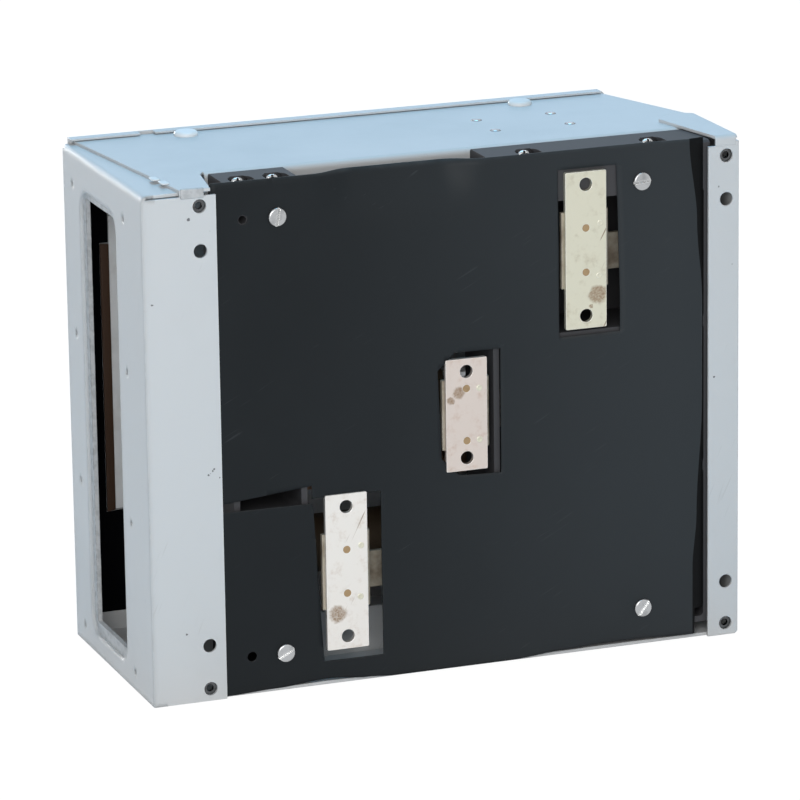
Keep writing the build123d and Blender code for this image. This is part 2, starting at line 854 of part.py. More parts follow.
def load_lug(height):
    """Cable lug block with its bore towards the window and a set-screw hole in front."""
    face_y = base_front_y - terminal_plate
    with BuildPart() as piece:
        with BuildSketch(Plane.XZ.offset(-face_y)):
            with Locations((lug_x, height)):
                RectangleRounded(lug_size, lug_size, sheet)
        extrude(amount=lug_size + lug_screw_wall)
        with BuildSketch(Plane.YZ.offset(lug_x - lug_size / 2)):
            with Locations((lug_middle_y, height)):
                Circle(lug_bore / 2)
        extrude(amount=lug_size, mode=Mode.SUBTRACT)
        with BuildSketch(Plane.XZ.offset(-(face_y - lug_size - lug_screw_wall))):
            with Locations((lug_x, height)):
                Circle(lug_screw / 2 + lug_screw_play)
        extrude(amount=-lug_size / 2, mode=Mode.SUBTRACT)
    return piece.part


def lug_screws():
    """Hexagon-socket set screws of the three lugs."""
    tip_y = lug_middle_y - lug_bore / 2 - seat_gap
    head_y = base_front_y - terminal_plate - lug_size - lug_screw_wall - sheet
    with BuildPart() as piece:
        with BuildSketch(Plane.XZ.offset(-tip_y)):
            with Locations(*[(lug_x, z) for z in pole_heights]):
                Circle(lug_screw / 2)
        extrude(amount=tip_y - head_y)
        with BuildSketch(Plane.XZ.offset(-head_y)):
            with Locations(*[(lug_x, z) for z in pole_heights]):
                RegularPolygon(lug_socket, 6)
        extrude(amount=-lug_screw_wall, mode=Mode.SUBTRACT)
    return piece.part


def phase_barrier(index):
    """Fibre sheet between two poles, standing on both mouldings."""
    height = (pole_heights[index] + pole_heights[index + 1]) / 2
    with BuildPart() as piece:
        with BuildSketch(Plane.XY.offset(height - fibre / 2)):
            with BuildLine():
                Polyline(
                    (barrier_start_x, base_front_y),
                    (load_base_x[1], base_front_y),
                    (load_base_x[1], barrier_front_y + barrier_cut[1]),
                    (load_base_x[1] - barrier_cut[0], barrier_front_y),
                    (barrier_start_x, barrier_front_y),
                    close=True,
                )
            make_face()
        extrude(amount=fibre)
    return piece.part


def arc_chute(height):
    """Fibre hood round the stationary jaw, with plates that split the arc."""
    inner_x = blade_pivot_x - crossbar_radius - crossbar_side / 2 - fibre - 1
    with BuildPart() as piece:
        for side in (-1, 1):
            with BuildSketch(Plane.XY.offset(height + side * chute_half - fibre / 2)):
                with BuildLine():
                    Polyline(
                        (chute_outer_x, base_front_y),
                        (inner_x, base_front_y),
                        (inner_x, chute_front_y + chute_step[1]),
                        (inner_x - chute_step[0], chute_front_y),
                        (chute_outer_x, chute_front_y),
                        close=True,
                    )
                make_face()
            extrude(amount=fibre)
        with BuildSketch(Plane.XY.offset(height - chute_half - fibre / 2)):
            with Locations((chute_outer_x + fibre / 2, (base_front_y + chute_front_y) / 2)):
                Rectangle(fibre, base_front_y - chute_front_y)
            splitter_x = chute_outer_x + fibre / 2 + splitter_length / 2
            with Locations(*[(splitter_x, chute_front_y + y) for y in splitter_places]):
                Rectangle(splitter_length, splitter)
        extrude(amount=2 * chute_half + fibre)
    return piece.part


def knife_blade(height):
    """Copper knife blade, turning on its pin and carried by the crossbar."""
    with BuildPart() as piece:
        with BuildSketch(Plane.XY.offset(height - blade_thickness / 2)):
            with Locations((blade_pivot_x, blade_pivot_y)):
                Circle(blade_width / 2)
            with Locations((blade_pivot_x - blade_length / 2, blade_pivot_y)):
                Rectangle(blade_length, blade_width)
            with Locations((blade_pivot_x, blade_pivot_y)):
                Circle(blade_pin / 2 + pin_clearance, mode=Mode.SUBTRACT)
        extrude(amount=blade_thickness)
        tip = piece.edges().filter_by(Axis.Z).group_by(Axis.X)[0]
        fillet(tip, blade_corner)
    return piece.part


def pivot_pins():
    """Pins that the three blades turn on, headed at both ends."""
    span = blade_thickness + 2 * jaw_gap + 2 * jaw_leaf
    with BuildPart() as piece:
        for height in pole_heights:
            with BuildSketch(Plane.XY.offset(height - span / 2 - blade_pin_head)):
                with Locations((blade_pivot_x, blade_pivot_y)):
                    Circle(blade_pin / 2)
            extrude(amount=span + 2 * blade_pin_head)
            for z in (height - span / 2 - blade_pin_head, height + span / 2 + pin_clearance):
                with BuildSketch(Plane.XY.offset(z)):
                    with Locations((blade_pivot_x, blade_pivot_y)):
                        Circle(blade_pin / 2 + blade_pin_head)
                extrude(amount=blade_pin_head - pin_clearance)
    return piece.part


def crossbar():
    """Insulated bar that joins the blades, with its steel crank between two poles."""
    bar_x = blade_pivot_x - crossbar_radius
    with BuildPart() as piece:
        with BuildSketch(Plane.XY.offset(crossbar_bottom)):
            with Locations((bar_x, blade_pivot_y)):
                RectangleRounded(crossbar_side, crossbar_side, base_edge)
        extrude(amount=crossbar_top - crossbar_bottom)
        for height in pole_heights:
            with BuildSketch(Plane.XY.offset(height - crossbar_boss / 2)):
                with Locations((bar_x, blade_pivot_y)):
                    Rectangle(crossbar_side + crossbar_boss_grow[0], crossbar_side + crossbar_boss_grow[1])
            extrude(amount=crossbar_boss)
        for height in pole_heights:
            with BuildSketch(Plane.XY.offset(height - blade_thickness / 2)):
                with Locations((bar_x, blade_pivot_y)):
                    Rectangle(crossbar_side + 2 * crossbar_boss_grow[0], blade_width)
            extrude(amount=blade_thickness, mode=Mode.SUBTRACT)
    return piece.part


def rotor_crank():
    """Steel crank plate clamped round the crossbar, with its link pin."""
    bar_x = blade_pivot_x - crossbar_radius
    pin = (blade_pivot_x + crank_x, blade_pivot_y + crank_y)
    low = link_z - link_gap - crank_plate
    with BuildPart() as piece:
        with BuildSketch(Plane.XY.offset(low)):
            with BuildLine():
                Polyline(
                    (bar_x - crank_clamp, blade_pivot_y - crank_clamp),
                    (bar_x + crank_clamp, blade_pivot_y - crank_clamp),
                    (pin[0], pin[1] - crank_eye),
                    (pin[0], pin[1] + crank_eye),
                    (bar_x - crank_clamp, blade_pivot_y + crank_clamp),
                    close=True,
                )
            make_face()
            with Locations(pin):
                Circle(crank_eye)
            with Locations((bar_x, blade_pivot_y)):
                Rectangle(crossbar_side, crossbar_side, mode=Mode.SUBTRACT)
        extrude(amount=crank_plate)
        with BuildSketch(Plane.XY.offset(low)):
            with Locations(pin):
                Circle(crank_pin / 2)
        extrude(amount=crank_plate + link_gap + link_thickness + sheet / 2)
    return piece.part


def drive_link():
    """Link between the handle's crank and the crossbar's crank."""
    start = (blade_pivot_x + crank_x, handle_pivot_y + crank_y)
    length = blade_pivot_y - handle_pivot_y
    with BuildPart() as piece:
        with BuildSketch(Plane.XY.offset(link_z)):
            with Locations((start[0], start[1] + length / 2)):
                Rectangle(link_width, length)
            with Locations(start, (start[0], start[1] + length)):
                Circle(link_width / 2)
            with Locations(start, (start[0], start[1] + length)):
                Circle(crank_pin / 2 + pin_clearance, mode=Mode.SUBTRACT)
        extrude(amount=link_thickness)
    return piece.part


def operating_handle():
    """Steel handle arm with its hub and crank."""
    pin = (blade_pivot_x + crank_x, handle_pivot_y + crank_y)
    low = link_z - link_gap - crank_plate
    hub_low = bracket_low + sheet + seat_gap
    hub_high = bracket_high - sheet - seat_gap
    with BuildPart() as piece:
        with BuildSketch(Plane.XY.offset(hub_low)):
            with Locations((blade_pivot_x, handle_pivot_y)):
                Circle(hub_diameter / 2)
        extrude(amount=hub_high - hub_low)
        with BuildSketch(handle_plane.offset(-arm_thickness / 2)):
            with Locations((arm_reach / 2, 0)):
                Rectangle(arm_reach, arm_width)
        extrude(amount=arm_thickness)
        with BuildSketch(Plane.XY.offset(low)):
            with Locations(pin):
                Circle(crank_eye)
            with Locations(((blade_pivot_x + pin[0]) / 2, (handle_pivot_y + pin[1]) / 2)):
                Rectangle(crank_radius, 2 * crank_eye, rotation=crank_angle)
        extrude(amount=crank_plate)
        with BuildSketch(Plane.XY.offset(low)):
            with Locations(pin):
                Circle(crank_pin / 2)
        extrude(amount=crank_plate + link_gap + link_thickness + sheet / 2)
        with BuildSketch(Plane.XY.offset(hub_low)):
            with Locations((blade_pivot_x, handle_pivot_y)):
                Circle(shaft_diameter / 2 + pin_clearance)
        extrude(amount=hub_high - hub_low, mode=Mode.SUBTRACT)
    return piece.part


def handle_grip():
    """Moulded grip over the end of the handle arm, with a slot for the padlock tab."""
    length = grip_to - grip_from
    with BuildPart() as piece:
        with BuildSketch(handle_plane.offset(-grip_side / 2)):
            with Locations(((grip_from + grip_to) / 2, 0)):
                RectangleRounded(length, grip_side + grip_swell, grip_corner)
        extrude(amount=grip_side)
        fillet(piece.faces().sort_by(Axis.Z)[-1].edges(), grip_edge)
        fillet(piece.faces().sort_by(Axis.Z)[0].edges(), grip_edge)
        with BuildSketch(handle_plane.offset(-arm_thickness / 2)):
            with Locations((grip_from, 0)):
                Rectangle(2 * (arm_reach - grip_from), arm_width)
        extrude(amount=arm_thickness, mode=Mode.SUBTRACT)
        with BuildSketch(handle_plane.offset(arm_thickness / 2 + sheet - tab_play)):
            with Locations((tab_place, 0)):
                Rectangle(tab_width + 2 * tab_play, 2 * grip_side)
        extrude(amount=tab_thickness + 2 * tab_play, mode=Mode.SUBTRACT)
    return piece.part


def padlock_tab():
    """Sheet tab in the grip that draws out sideways to take a padlock shackle."""
    with BuildPart() as piece:
        with BuildSketch(handle_plane.offset(arm_thickness / 2 + sheet)):
            with Locations((tab_place, 0)):
                Rectangle(tab_width, grip_side + grip_swell)
            with Locations((tab_place, shackle_shift)):
                Circle(shackle_hole / 2, mode=Mode.SUBTRACT)
        extrude(amount=tab_thickness)
    return piece.part


def handle_shaft():
    """Shaft that the handle turns on."""
    with BuildPart() as piece:
        with BuildSketch(Plane.XY.offset(bracket_low - shaft_overhang)):
            with Locations((blade_pivot_x, handle_pivot_y)):
                Circle(shaft_diameter / 2)
        extrude(amount=bracket_high - bracket_low + 2 * shaft_overhang)
        chamfer(piece.edges().filter_by(GeomType.CIRCLE), sheet / 2)
    return piece.part


def handle_bracket():
    """Bracket behind the cover with two ears for the handle's shaft."""
    ear_rear = handle_pivot_y + bracket_reach
    with BuildPart() as piece:
        feet = ((bracket_low, bracket_low - bracket_foot), (bracket_high - sheet, bracket_high))
        for ear_z, foot_z in feet:
            with BuildSketch(Plane.XY.offset(ear_z)):
                with Locations((blade_pivot_x, (front + ear_rear) / 2)):
                    Rectangle(bracket_width, ear_rear - front)
                with Locations((blade_pivot_x, handle_pivot_y)):
                    Circle(shaft_diameter / 2, mode=Mode.SUBTRACT)
            extrude(amount=sheet)
            with BuildSketch(Plane.XY.offset(foot_z)):
                with Locations((blade_pivot_x, front + sheet / 2)):
                    Rectangle(bracket_width, sheet)
            extrude(amount=bracket_foot)
        with BuildSketch(Plane.XY.offset(bracket_low)):
            with Locations((blade_pivot_x - bracket_width / 2 + sheet / 2, handle_pivot_y + bracket_web / 2)):
                Rectangle(sheet, bracket_web)
        extrude(amount=bracket_high - bracket_low)
    return piece.part


def handle_bezel():
    """Raised moulding round the handle slot."""
    with BuildPart() as piece:
        with BuildSketch(Plane.XZ.offset(-(front - sheet))):
            with Locations((blade_pivot_x, link_z)):
                RectangleRounded(slot_length + 2 * bezel_border, slot_height + bezel_border, slot_corner)
                RectangleRounded(slot_length - 2 * bezel_cover, slot_height - 2 * bezel_cover,
                                 slot_corner - bezel_cover, mode=Mode.SUBTRACT)
        extrude(amount=bezel_thickness)
        chamfer(piece.faces().sort_by(Axis.Y)[0].edges(), sheet / 2)
    return piece.part


def crossbar_stop():
    """Bracket riveted under the roof that stops the crossbar when the switch is open."""
    open_y = blade_pivot_y - crossbar_radius * math.sin(math.radians(throw))
    corner = crossbar_side / 2 * (math.cos(math.radians(throw)) + math.sin(math.radians(throw)))
    leg_rear = open_y - corner - stop_clearance
    plate_front = leg_rear - sheet
    with BuildPart() as piece:
        with BuildSketch(Plane.XY.offset(top_underside)):
            with Locations((blade_pivot_x, (plate_front + stop_rear_y) / 2)):
                Rectangle(stop_width, stop_rear_y - plate_front)
            with Locations(*rivet_places):
                Circle(roof_rivet / 2, mode=Mode.SUBTRACT)
        extrude(amount=-sheet)
        with BuildSketch(Plane.XY.offset(top_underside)):
            with Locations((blade_pivot_x - stop_leg / 2, leg_rear - sheet / 2)):
                Rectangle(stop_leg, sheet)
        extrude(amount=-(top_underside - crossbar_top + crossbar_boss))
    return piece.part


def roof_rivets():
    """Flush rivets through the roof and the stop bracket."""
    with BuildPart() as piece:
        with BuildSketch(Plane.XY.offset(top_underside - sheet)):
            with Locations(*rivet_places):
                Circle(roof_rivet / 2)
        extrude(amount=2 * sheet)
    return piece.part


def strap_cut_out(pole):
    """Outline of the sheet's cut-out round one strap; the middle one has two cut corners."""
    height = strap_hole_spacing[pole] + 2 * (strap_end + cut_margin_height)
    with BuildSketch() as outline:
        Rectangle(strap_width + 2 * cut_margin_width, height)
        if pole == "b":
            chamfer(outline.vertices().group_by(Axis.X)[-1], cut_corner)
    return outline.sketch


def rear_barrier():
    """Flexible insulating sheet behind the bases, cut out round the straps and slit at one side."""
    cut_outs = {pole: strap_cut_out(pole) for pole in bus_x}
    with BuildPart() as piece:
        with BuildSketch(Plane.XZ.offset(-barrier_rear_y)):
            with BuildLine():
                Polyline(
                    (barrier_left, barrier_bottom[1]),
                    (barrier_right, barrier_bottom[0]),
                    (barrier_right, barrier_notch_z),
                    (ear_inner_x - 1, barrier_notch_z + sheet),
                    (ear_inner_x - 1, barrier_top),
                    (barrier_left, barrier_top),
                    close=True,
                )
            make_face()
            for pole in bus_x:
                with Locations((bus_x[pole], strap_middle_z[pole])):
                    add(cut_outs[pole], mode=Mode.SUBTRACT)
            with Locations(((bus_x["a"] + barrier_right) / 2, slit_z)):
                Rectangle(barrier_right - bus_x["a"] + 1, slit_height, mode=Mode.SUBTRACT)
            holes = [(barrier_hole_x, z) for z in barrier_screw_z]
            screws = [(x, z) for x in barrier_screw_x for z in barrier_screw_z]
            with Locations(*holes, *screws):
                Circle(barrier_hole / 2, mode=Mode.SUBTRACT)
        extrude(amount=barrier_thickness)
    return piece.part


def slotted_screws(places, turns, seat_y, head_height, length):
    """Pan-head screws seen from behind, each with its slot at its own angle."""
    with BuildPart() as piece:
        with BuildSketch(Plane.XZ.offset(-seat_y)):
            with Locations(*places):
                Circle(screw_head / 2)
        extrude(amount=-head_height)
        rims = piece.edges().filter_by(GeomType.CIRCLE).group_by(Axis.Y)[-1]
        fillet(rims, head_height / 2)
        with BuildSketch(Plane.XZ.offset(-(seat_y + head_height))):
            for place, turn in zip(places, turns):
                with Locations(place):
                    Rectangle(slot_width, screw_head + 1, rotation=turn)
        extrude(amount=slot_depth, mode=Mode.SUBTRACT)
        with BuildSketch(Plane.XZ.offset(-seat_y)):
            with Locations(*places):
                Circle(screw_shank / 2)
        extrude(amount=length)
    return piece.part


def fuse_door():
    """Door pan over the fuse compartment, with turned-in edges and a hole for its latch."""
    width = door_opening_x[1] - door_opening_x[0] + 2 * door_overlap
    height = door_opening_z[1] - door_opening_z[0] + 2 * door_overlap
    middle = (sum(door_opening_x) / 2, sum(door_opening_z) / 2)
    with BuildPart() as piece:
        with BuildSketch(Plane.XZ.offset(-door_outer_y)):
            with Locations(middle):
                RectangleRounded(width, height, door_corner)
        extrude(amount=-door_depth)
        fillet(piece.faces().sort_by(Axis.Y)[0].edges(), door_edge)
        with BuildSketch(Plane.XZ.offset(-(door_outer_y + sheet))):
            with Locations(middle):
                RectangleRounded(width - 2 * sheet, height - 2 * sheet, door_corner - sheet)
        extrude(amount=-door_depth, mode=Mode.SUBTRACT)
        with BuildSketch(Plane.XZ.offset(-door_outer_y)):
            with Locations((latch_x, latch_z)):
                Circle(latch_stud / 2 + pin_clearance)
        extrude(amount=-sheet, mode=Mode.SUBTRACT)
    return piece.part


def door_latch():
    """Quarter-turn knob whose stud reaches through the cover."""
    with BuildPart() as piece:
        with BuildSketch(Plane.XZ.offset(-(door_outer_y - seat_gap))):
            with Locations((latch_x, latch_z)):
                Circle(latch_knob / 2)
                with PolarLocations(latch_knob / 2 + seat_gap, latch_flutes):
                    Circle(latch_flute / 2, mode=Mode.SUBTRACT)
        extrude(amount=latch_knob_height)
        with BuildSketch(Plane.XZ.offset(-(door_outer_y - seat_gap - latch_knob_height))):
            with Locations((latch_x, latch_z)):
                Rectangle(latch_knob + 2, latch_slot)
        extrude(amount=-latch_slot, mode=Mode.SUBTRACT)
        with BuildSketch(Plane.XZ.offset(-(door_outer_y - seat_gap))):
            with Locations((latch_x, latch_z)):
                Circle(latch_stud / 2)
        extrude(amount=-(door_depth + door_gap + sheet + bend_radius))
    return piece.part


def hinge_part(fixed):
    """Two butt hinges: the leaf on the cover, or the leaf on the door's edge."""
    third = hinge_length / 3
    cover_y = front - sheet
    door_x = door_opening_x[1] + door_overlap
    with BuildPart() as piece:
        for middle in hinge_z:
            spans = [middle - 1.5 * third, middle + third / 2] if fixed else [middle - third / 2]
            for low in spans:
                with BuildSketch(Plane.XY.offset(low + hinge_play)):
                    with Locations((hinge_axis_x, hinge_axis_y)):
                        Circle(hinge_knuckle / 2)
                    if fixed:
                        with Locations((hinge_axis_x, cover_y)):
                            Rectangle(leaf_width, leaf_thickness, align=(Align.MIN, Align.MAX))
                        with Locations((hinge_axis_x, cover_y)):
                            Rectangle(leaf_thickness * 2, hinge_knuckle / 2, align=(Align.MIN, Align.MAX))
                    else:
                        with Locations((door_x, hinge_axis_y)):
                            Rectangle(leaf_thickness, hinge_knuckle - door_edge,
                                      align=(Align.MIN, Align.MAX))
                        with Locations((door_x, hinge_axis_y)):
                            Rectangle(hinge_axis_x - door_x, hinge_knuckle / 2, align=(Align.MIN, Align.MAX))
                    with Locations((hinge_axis_x, hinge_axis_y)):
                        Circle(hinge_pin / 2 + pin_clearance, mode=Mode.SUBTRACT)
                extrude(amount=third - 2 * hinge_play)
            if fixed:
                with BuildSketch(Plane.XY.offset(middle - hinge_length / 2 + hinge_play)):
                    with Locations((hinge_axis_x + leaf_width, cover_y)):
                        Rectangle(leaf_width / 2, leaf_thickness, align=(Align.MAX, Align.MAX))
                extrude(amount=hinge_length - 2 * hinge_play)
    return piece.part


def hinge_pins():
    """Headed pins of the door's hinges."""
    with BuildPart() as piece:
        for middle in hinge_z:
            with BuildSketch(Plane.XY.offset(middle - hinge_length / 2)):
                with Locations((hinge_axis_x, hinge_axis_y)):
                    Circle(hinge_pin / 2)
            extrude(amount=hinge_length + hinge_play)
            with BuildSketch(Plane.XY.offset(middle + hinge_length / 2)):
                with Locations((hinge_axis_x, hinge_axis_y)):
                    Circle(hinge_pin / 2 + 1)
            extrude(amount=leaf_thickness)
    return piece.part


def defeat_button():
    """Sprung button in the cover that releases the interlock."""
    with BuildPart() as piece:
        with BuildSketch(Plane.XZ.offset(-(front - sheet - button_head))):
            with Locations((button_x, button_z)):
                Circle(button_diameter / 2)
        extrude(amount=-(button_head + sheet + button_tail))
        chamfer(piece.edges().filter_by(GeomType.CIRCLE).sort_by(Axis.Y)[0], sheet / 2)
        with BuildSketch(Plane.XZ.offset(-(front + seat_gap))):
            with Locations((button_x, button_z)):
                Circle(button_diameter / 2 + button_collar)
        extrude(amount=-button_collar_height)
    return piece.part


def cover_domes():
    """Domed screws that hold the cover's return under the roof."""
    with BuildPart() as piece:
        with BuildSketch(Plane.XY.offset(case_height)):
            with Locations(*[(x, dome_y) for x in dome_x]):
                Circle(dome_diameter / 2)
        extrude(amount=dome_height)
        fillet(piece.edges().filter_by(GeomType.CIRCLE).group_by(Axis.Z)[-1], dome_height * 0.8)
    return piece.part


def clinch_nuts():
    """Clinch nuts behind the end holes of both rear flanges."""
    heights = [flange_hole_end, flange_top_hole - flange_hole_end]
    sides = [right - window_side_hole_inset, left + handle_side_hole_inset]
    with BuildPart() as piece:
        with BuildSketch(Plane.XZ.offset(-(rear - sheet))):
            with Locations(*[(x, z) for x in sides for z in heights]):
                Circle(flange_hole / 2 + nut_rim)
                Circle(nut_thread / 2, mode=Mode.SUBTRACT)
        extrude(amount=nut_height)
    return piece.part


save(top_panel(), "top_panel")
save(bottom_panel(), "bottom_panel")
save(window_end_plate(), "window_end_plate")
save(window_frame(), "window_frame")
save(handle_end_plate(), "handle_end_plate")
save(top_corner_tab(), "top_corner_tab")
save(front_cover(), "front_cover")
save(clinch_nuts(), "clinch_nuts")
save(cover_domes(), "cover_domes")
save(crossbar_stop(), "crossbar_stop")
save(roof_rivets(), "roof_rivets")
save(lower_rail(), "lower_rail")
save(moulded_base(*line_base_x, True, barrier_screw_x[1], line_screw_x), "line_base")
save(moulded_base(*load_base_x, False, barrier_screw_x[0], load_screw_x), "load_base")

save(every_pole(line_jaw), "line_jaws")
save(every_pole(lambda z: fuse_clip(line_clip_x, z, line_plate)), "line_fuse_clips")
save(every_pole(lambda z: fuse_clip(load_clip_x, z, load_plate)), "load_fuse_clips")
save(every_pole(load_lug), "load_lugs")
save(every_pole(arc_chute), "arc_chutes")
for pole, height in zip("abc", pole_heights):
    save(bus_strap(pole), f"bus_strap_{pole}")
    save(line_bracket(pole, height), f"line_bracket_{pole}")
    save(blade_hinge(height), f"blade_hinge_{pole}")
    save(fuse(height), f"fuse_{pole}")
    save(knife_blade(height), f"knife_blade_{pole}")

for index, name in enumerate(["lower_phase_barrier", "upper_phase_barrier"]):
    save(phase_barrier(index), name)

save(strap_rivets(), "strap_rivets")
save(lug_screws(), "lug_screws")
save(pivot_pins(), "blade_pivot_pins")
save(crossbar(), "crossbar")
save(rotor_crank(), "crossbar_crank")
save(drive_link(), "drive_link")
save(operating_handle(), "operating_handle")
save(handle_grip(), "handle_grip")
save(padlock_tab(), "padlock_tab")
save(handle_shaft(), "handle_shaft")
save(handle_bracket(), "handle_bracket")
save(handle_bezel(), "handle_bezel")
save(rear_barrier(), "rear_barrier")

barrier_places = [(x, z) for x in barrier_screw_x for z in barrier_screw_z]
save(slotted_screws(barrier_places, barrier_slot_turns, barrier_rear_y, screw_head_height,
                    barrier_screw_length), "barrier_screws")
head_places = [(x, head_screw_z) for x in line_screw_x + load_screw_x]
save(slotted_screws(head_places, [0.0] * len(head_places), rear_bend_y + head_setback,
                    base_head_height, head_setback + sheet), "base_screws")

save(fuse_door(), "fuse_door")
save(door_latch(), "door_latch")
save(hinge_part(True), "cover_hinge_leaves")
save(hinge_part(False), "door_hinge_leaves")
save(hinge_pins(), "hinge_pins")
save(defeat_button(), "defeat_button")
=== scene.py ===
"""Finishes and small pieces of a fusible disconnect switch seen from behind, laid out as an add-on.

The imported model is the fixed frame: -Y is the door side, +Y the bus straps, +X the cable window.
Outlines, profiles and places of pieces and spots are in millimetres. What the properties, the
materials and the stage hold is in metres."""

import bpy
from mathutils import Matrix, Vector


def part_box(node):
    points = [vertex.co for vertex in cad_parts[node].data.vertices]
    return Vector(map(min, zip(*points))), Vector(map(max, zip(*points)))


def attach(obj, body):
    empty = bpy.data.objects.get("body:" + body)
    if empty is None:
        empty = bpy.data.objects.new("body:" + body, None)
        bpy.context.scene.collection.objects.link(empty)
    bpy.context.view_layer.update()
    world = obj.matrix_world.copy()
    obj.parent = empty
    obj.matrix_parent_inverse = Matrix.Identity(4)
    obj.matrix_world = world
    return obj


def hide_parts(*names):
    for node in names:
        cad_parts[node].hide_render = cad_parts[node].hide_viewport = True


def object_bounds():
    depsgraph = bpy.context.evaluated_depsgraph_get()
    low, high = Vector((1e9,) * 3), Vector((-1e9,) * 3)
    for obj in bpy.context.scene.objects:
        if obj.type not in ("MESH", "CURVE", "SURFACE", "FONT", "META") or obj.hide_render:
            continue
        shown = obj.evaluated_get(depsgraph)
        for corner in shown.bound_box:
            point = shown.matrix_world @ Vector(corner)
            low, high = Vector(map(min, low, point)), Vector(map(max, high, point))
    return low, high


bl_info = {
    "name": "Fusible disconnect switch looks",
    "version": (1, 0, 0),
    "blender": (4, 5, 0),
    "location": "3D View > Sidebar > Switch",
    "description": "Dresses the packed switch with its insulating sheet, trim and finishes",
    "category": "Object",
}

import math

import bmesh
import bpy
from mathutils import Matrix, Vector, noise

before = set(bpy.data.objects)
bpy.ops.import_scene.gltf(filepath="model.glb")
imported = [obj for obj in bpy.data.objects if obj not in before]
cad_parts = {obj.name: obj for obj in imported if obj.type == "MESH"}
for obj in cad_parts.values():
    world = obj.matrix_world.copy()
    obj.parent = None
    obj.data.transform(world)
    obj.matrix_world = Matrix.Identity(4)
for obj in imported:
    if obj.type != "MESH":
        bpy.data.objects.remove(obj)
cad_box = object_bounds()
MM = 0.001


# Properties


class SwitchSizes(bpy.types.PropertyGroup):
    """Sizes of the pieces that the looks add."""

    sheet_thickness: bpy.props.FloatProperty(
        name="Sheet thickness", description="Thickness of the insulating sheet", default=0.0008,
        min=0.0003, max=0.002, subtype="DISTANCE", unit="LENGTH")
    sheet_bulge: bpy.props.FloatProperty(
        name="Sheet bulge", description="How far the sheet waves out of flat", default=0.0022,
        min=0.0, max=0.006, subtype="DISTANCE", unit="LENGTH")
    sheet_lean: bpy.props.FloatProperty(
        name="Sheet lean", description="How far the top edge leans in between the bases", default=0.009,
        min=0.0, max=0.015, subtype="DISTANCE", unit="LENGTH")
    crease_rise: bpy.props.FloatProperty(
        name="Crease rise", description="How far the crease near the sheet's far edge stands out",
        default=0.0022, min=0.0, max=0.004, subtype="DISTANCE", unit="LENGTH")
    # Also the width of the painted highlight along the enamel's edges
    edge_round: bpy.props.FloatProperty(
        name="Edge wear width", description="Width of the worn band along edges", default=0.0007,
        min=0.0001, max=0.003, subtype="DISTANCE", unit="LENGTH")


class SwitchColours(bpy.types.PropertyGroup):
    """Colours of the finishes."""

    enamel: bpy.props.FloatVectorProperty(
        name="Enamel", description="Light grey enamel of the case", default=(0.612, 0.628, 0.640),
        subtype="COLOR", min=0.0, max=1.0)
    sheet: bpy.props.FloatVectorProperty(
        name="Sheet", description="Slate black of the insulating sheet", default=(0.009, 0.0115, 0.0135),
        subtype="COLOR", min=0.0, max=1.0)
    # Its near black also paints the shade in the bases' hollows behind the sheet's cut-outs
    moulding: bpy.props.FloatVectorProperty(
        name="Moulding", description="Black of the moulded bases", default=(0.0012, 0.0014, 0.0016),
        subtype="COLOR", min=0.0, max=1.0)
    plating: bpy.props.FloatVectorProperty(
        name="Plating", description="Silver plating of jaws and clips", default=(0.80, 0.755, 0.65),
        subtype="COLOR", min=0.0, max=1.0)
    copper: bpy.props.FloatVectorProperty(
        name="Copper", description="Bare copper of the knife blades", default=(0.55, 0.36, 0.24),
        subtype="COLOR", min=0.0, max=1.0)
    zinc: bpy.props.FloatVectorProperty(
        name="Zinc", description="Zinc plating of the screws", default=(0.44, 0.45, 0.46),
        subtype="COLOR", min=0.0, max=1.0)
    fibre: bpy.props.FloatVectorProperty(
        name="Fibre", description="Vulcanised fibre of the inner barriers", default=(0.22, 0.10, 0.05),
        subtype="COLOR", min=0.0, max=1.0)
    dust: bpy.props.FloatVectorProperty(
        name="Dust", description="Grey dust on upward faces", default=(0.46, 0.45, 0.43),
        subtype="COLOR", min=0.0, max=1.0)


# Mesh helpers

# Vertices closer than this, in metres, are made one
MERGE_DISTANCE = 1e-6
SHARP_ANGLE = math.radians(35)
TURN_STEPS = 32


def finish_piece(bm, name, body, material):
    """Turns a bmesh into a piece that rides on a body and takes a material."""
    bmesh.ops.remove_doubles(bm, verts=bm.verts, dist=MERGE_DISTANCE)
    bmesh.ops.recalc_face_normals(bm, faces=bm.faces)
    mesh = bpy.data.meshes.new(name)
    bm.to_mesh(mesh)
    bm.free()
    for face in mesh.polygons:
        face.use_smooth = True
    piece = bpy.data.objects.new(name, mesh)
    bpy.context.scene.collection.objects.link(piece)
    mesh.materials.append(bpy.data.materials[material])
    mesh.set_sharp_from_angle(angle=SHARP_ANGLE)
    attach(piece, body)
    return piece


def edges_of(verts):
    """Lists the edges that meet the given vertices, each once."""
    return list({e for v in verts for e in v.link_edges})


def round_edges(bm, edges, width, segments=2):
    """Rounds edges by a width in millimetres."""
    bmesh.ops.bevel(bm, geom=edges, offset=width * MM, offset_type="OFFSET", segments=segments,
                    profile=0.5, affect="EDGES", material=-1)


def push_out(bm, faces, push):
    """Extrudes faces by a vector and returns the vertices that moved."""
    grown = bmesh.ops.extrude_face_region(bm, geom=faces)["geom"]
    moved = [v for v in grown if isinstance(v, bmesh.types.BMVert)]
    bmesh.ops.translate(bm, vec=push, verts=moved)
    return moved


def add_block(bm, low, high, bevel):
    """Adds a rounded block between two corners in millimetres."""
    made = bmesh.ops.create_cube(bm, size=1.0)["verts"]
    size = [(b - a) * MM for a, b in zip(low, high)]
    middle = [(a + b) / 2 * MM for a, b in zip(low, high)]
    bmesh.ops.scale(bm, vec=size, verts=made)
    bmesh.ops.translate(bm, vec=middle, verts=made)
    round_edges(bm, edges_of(made), bevel)


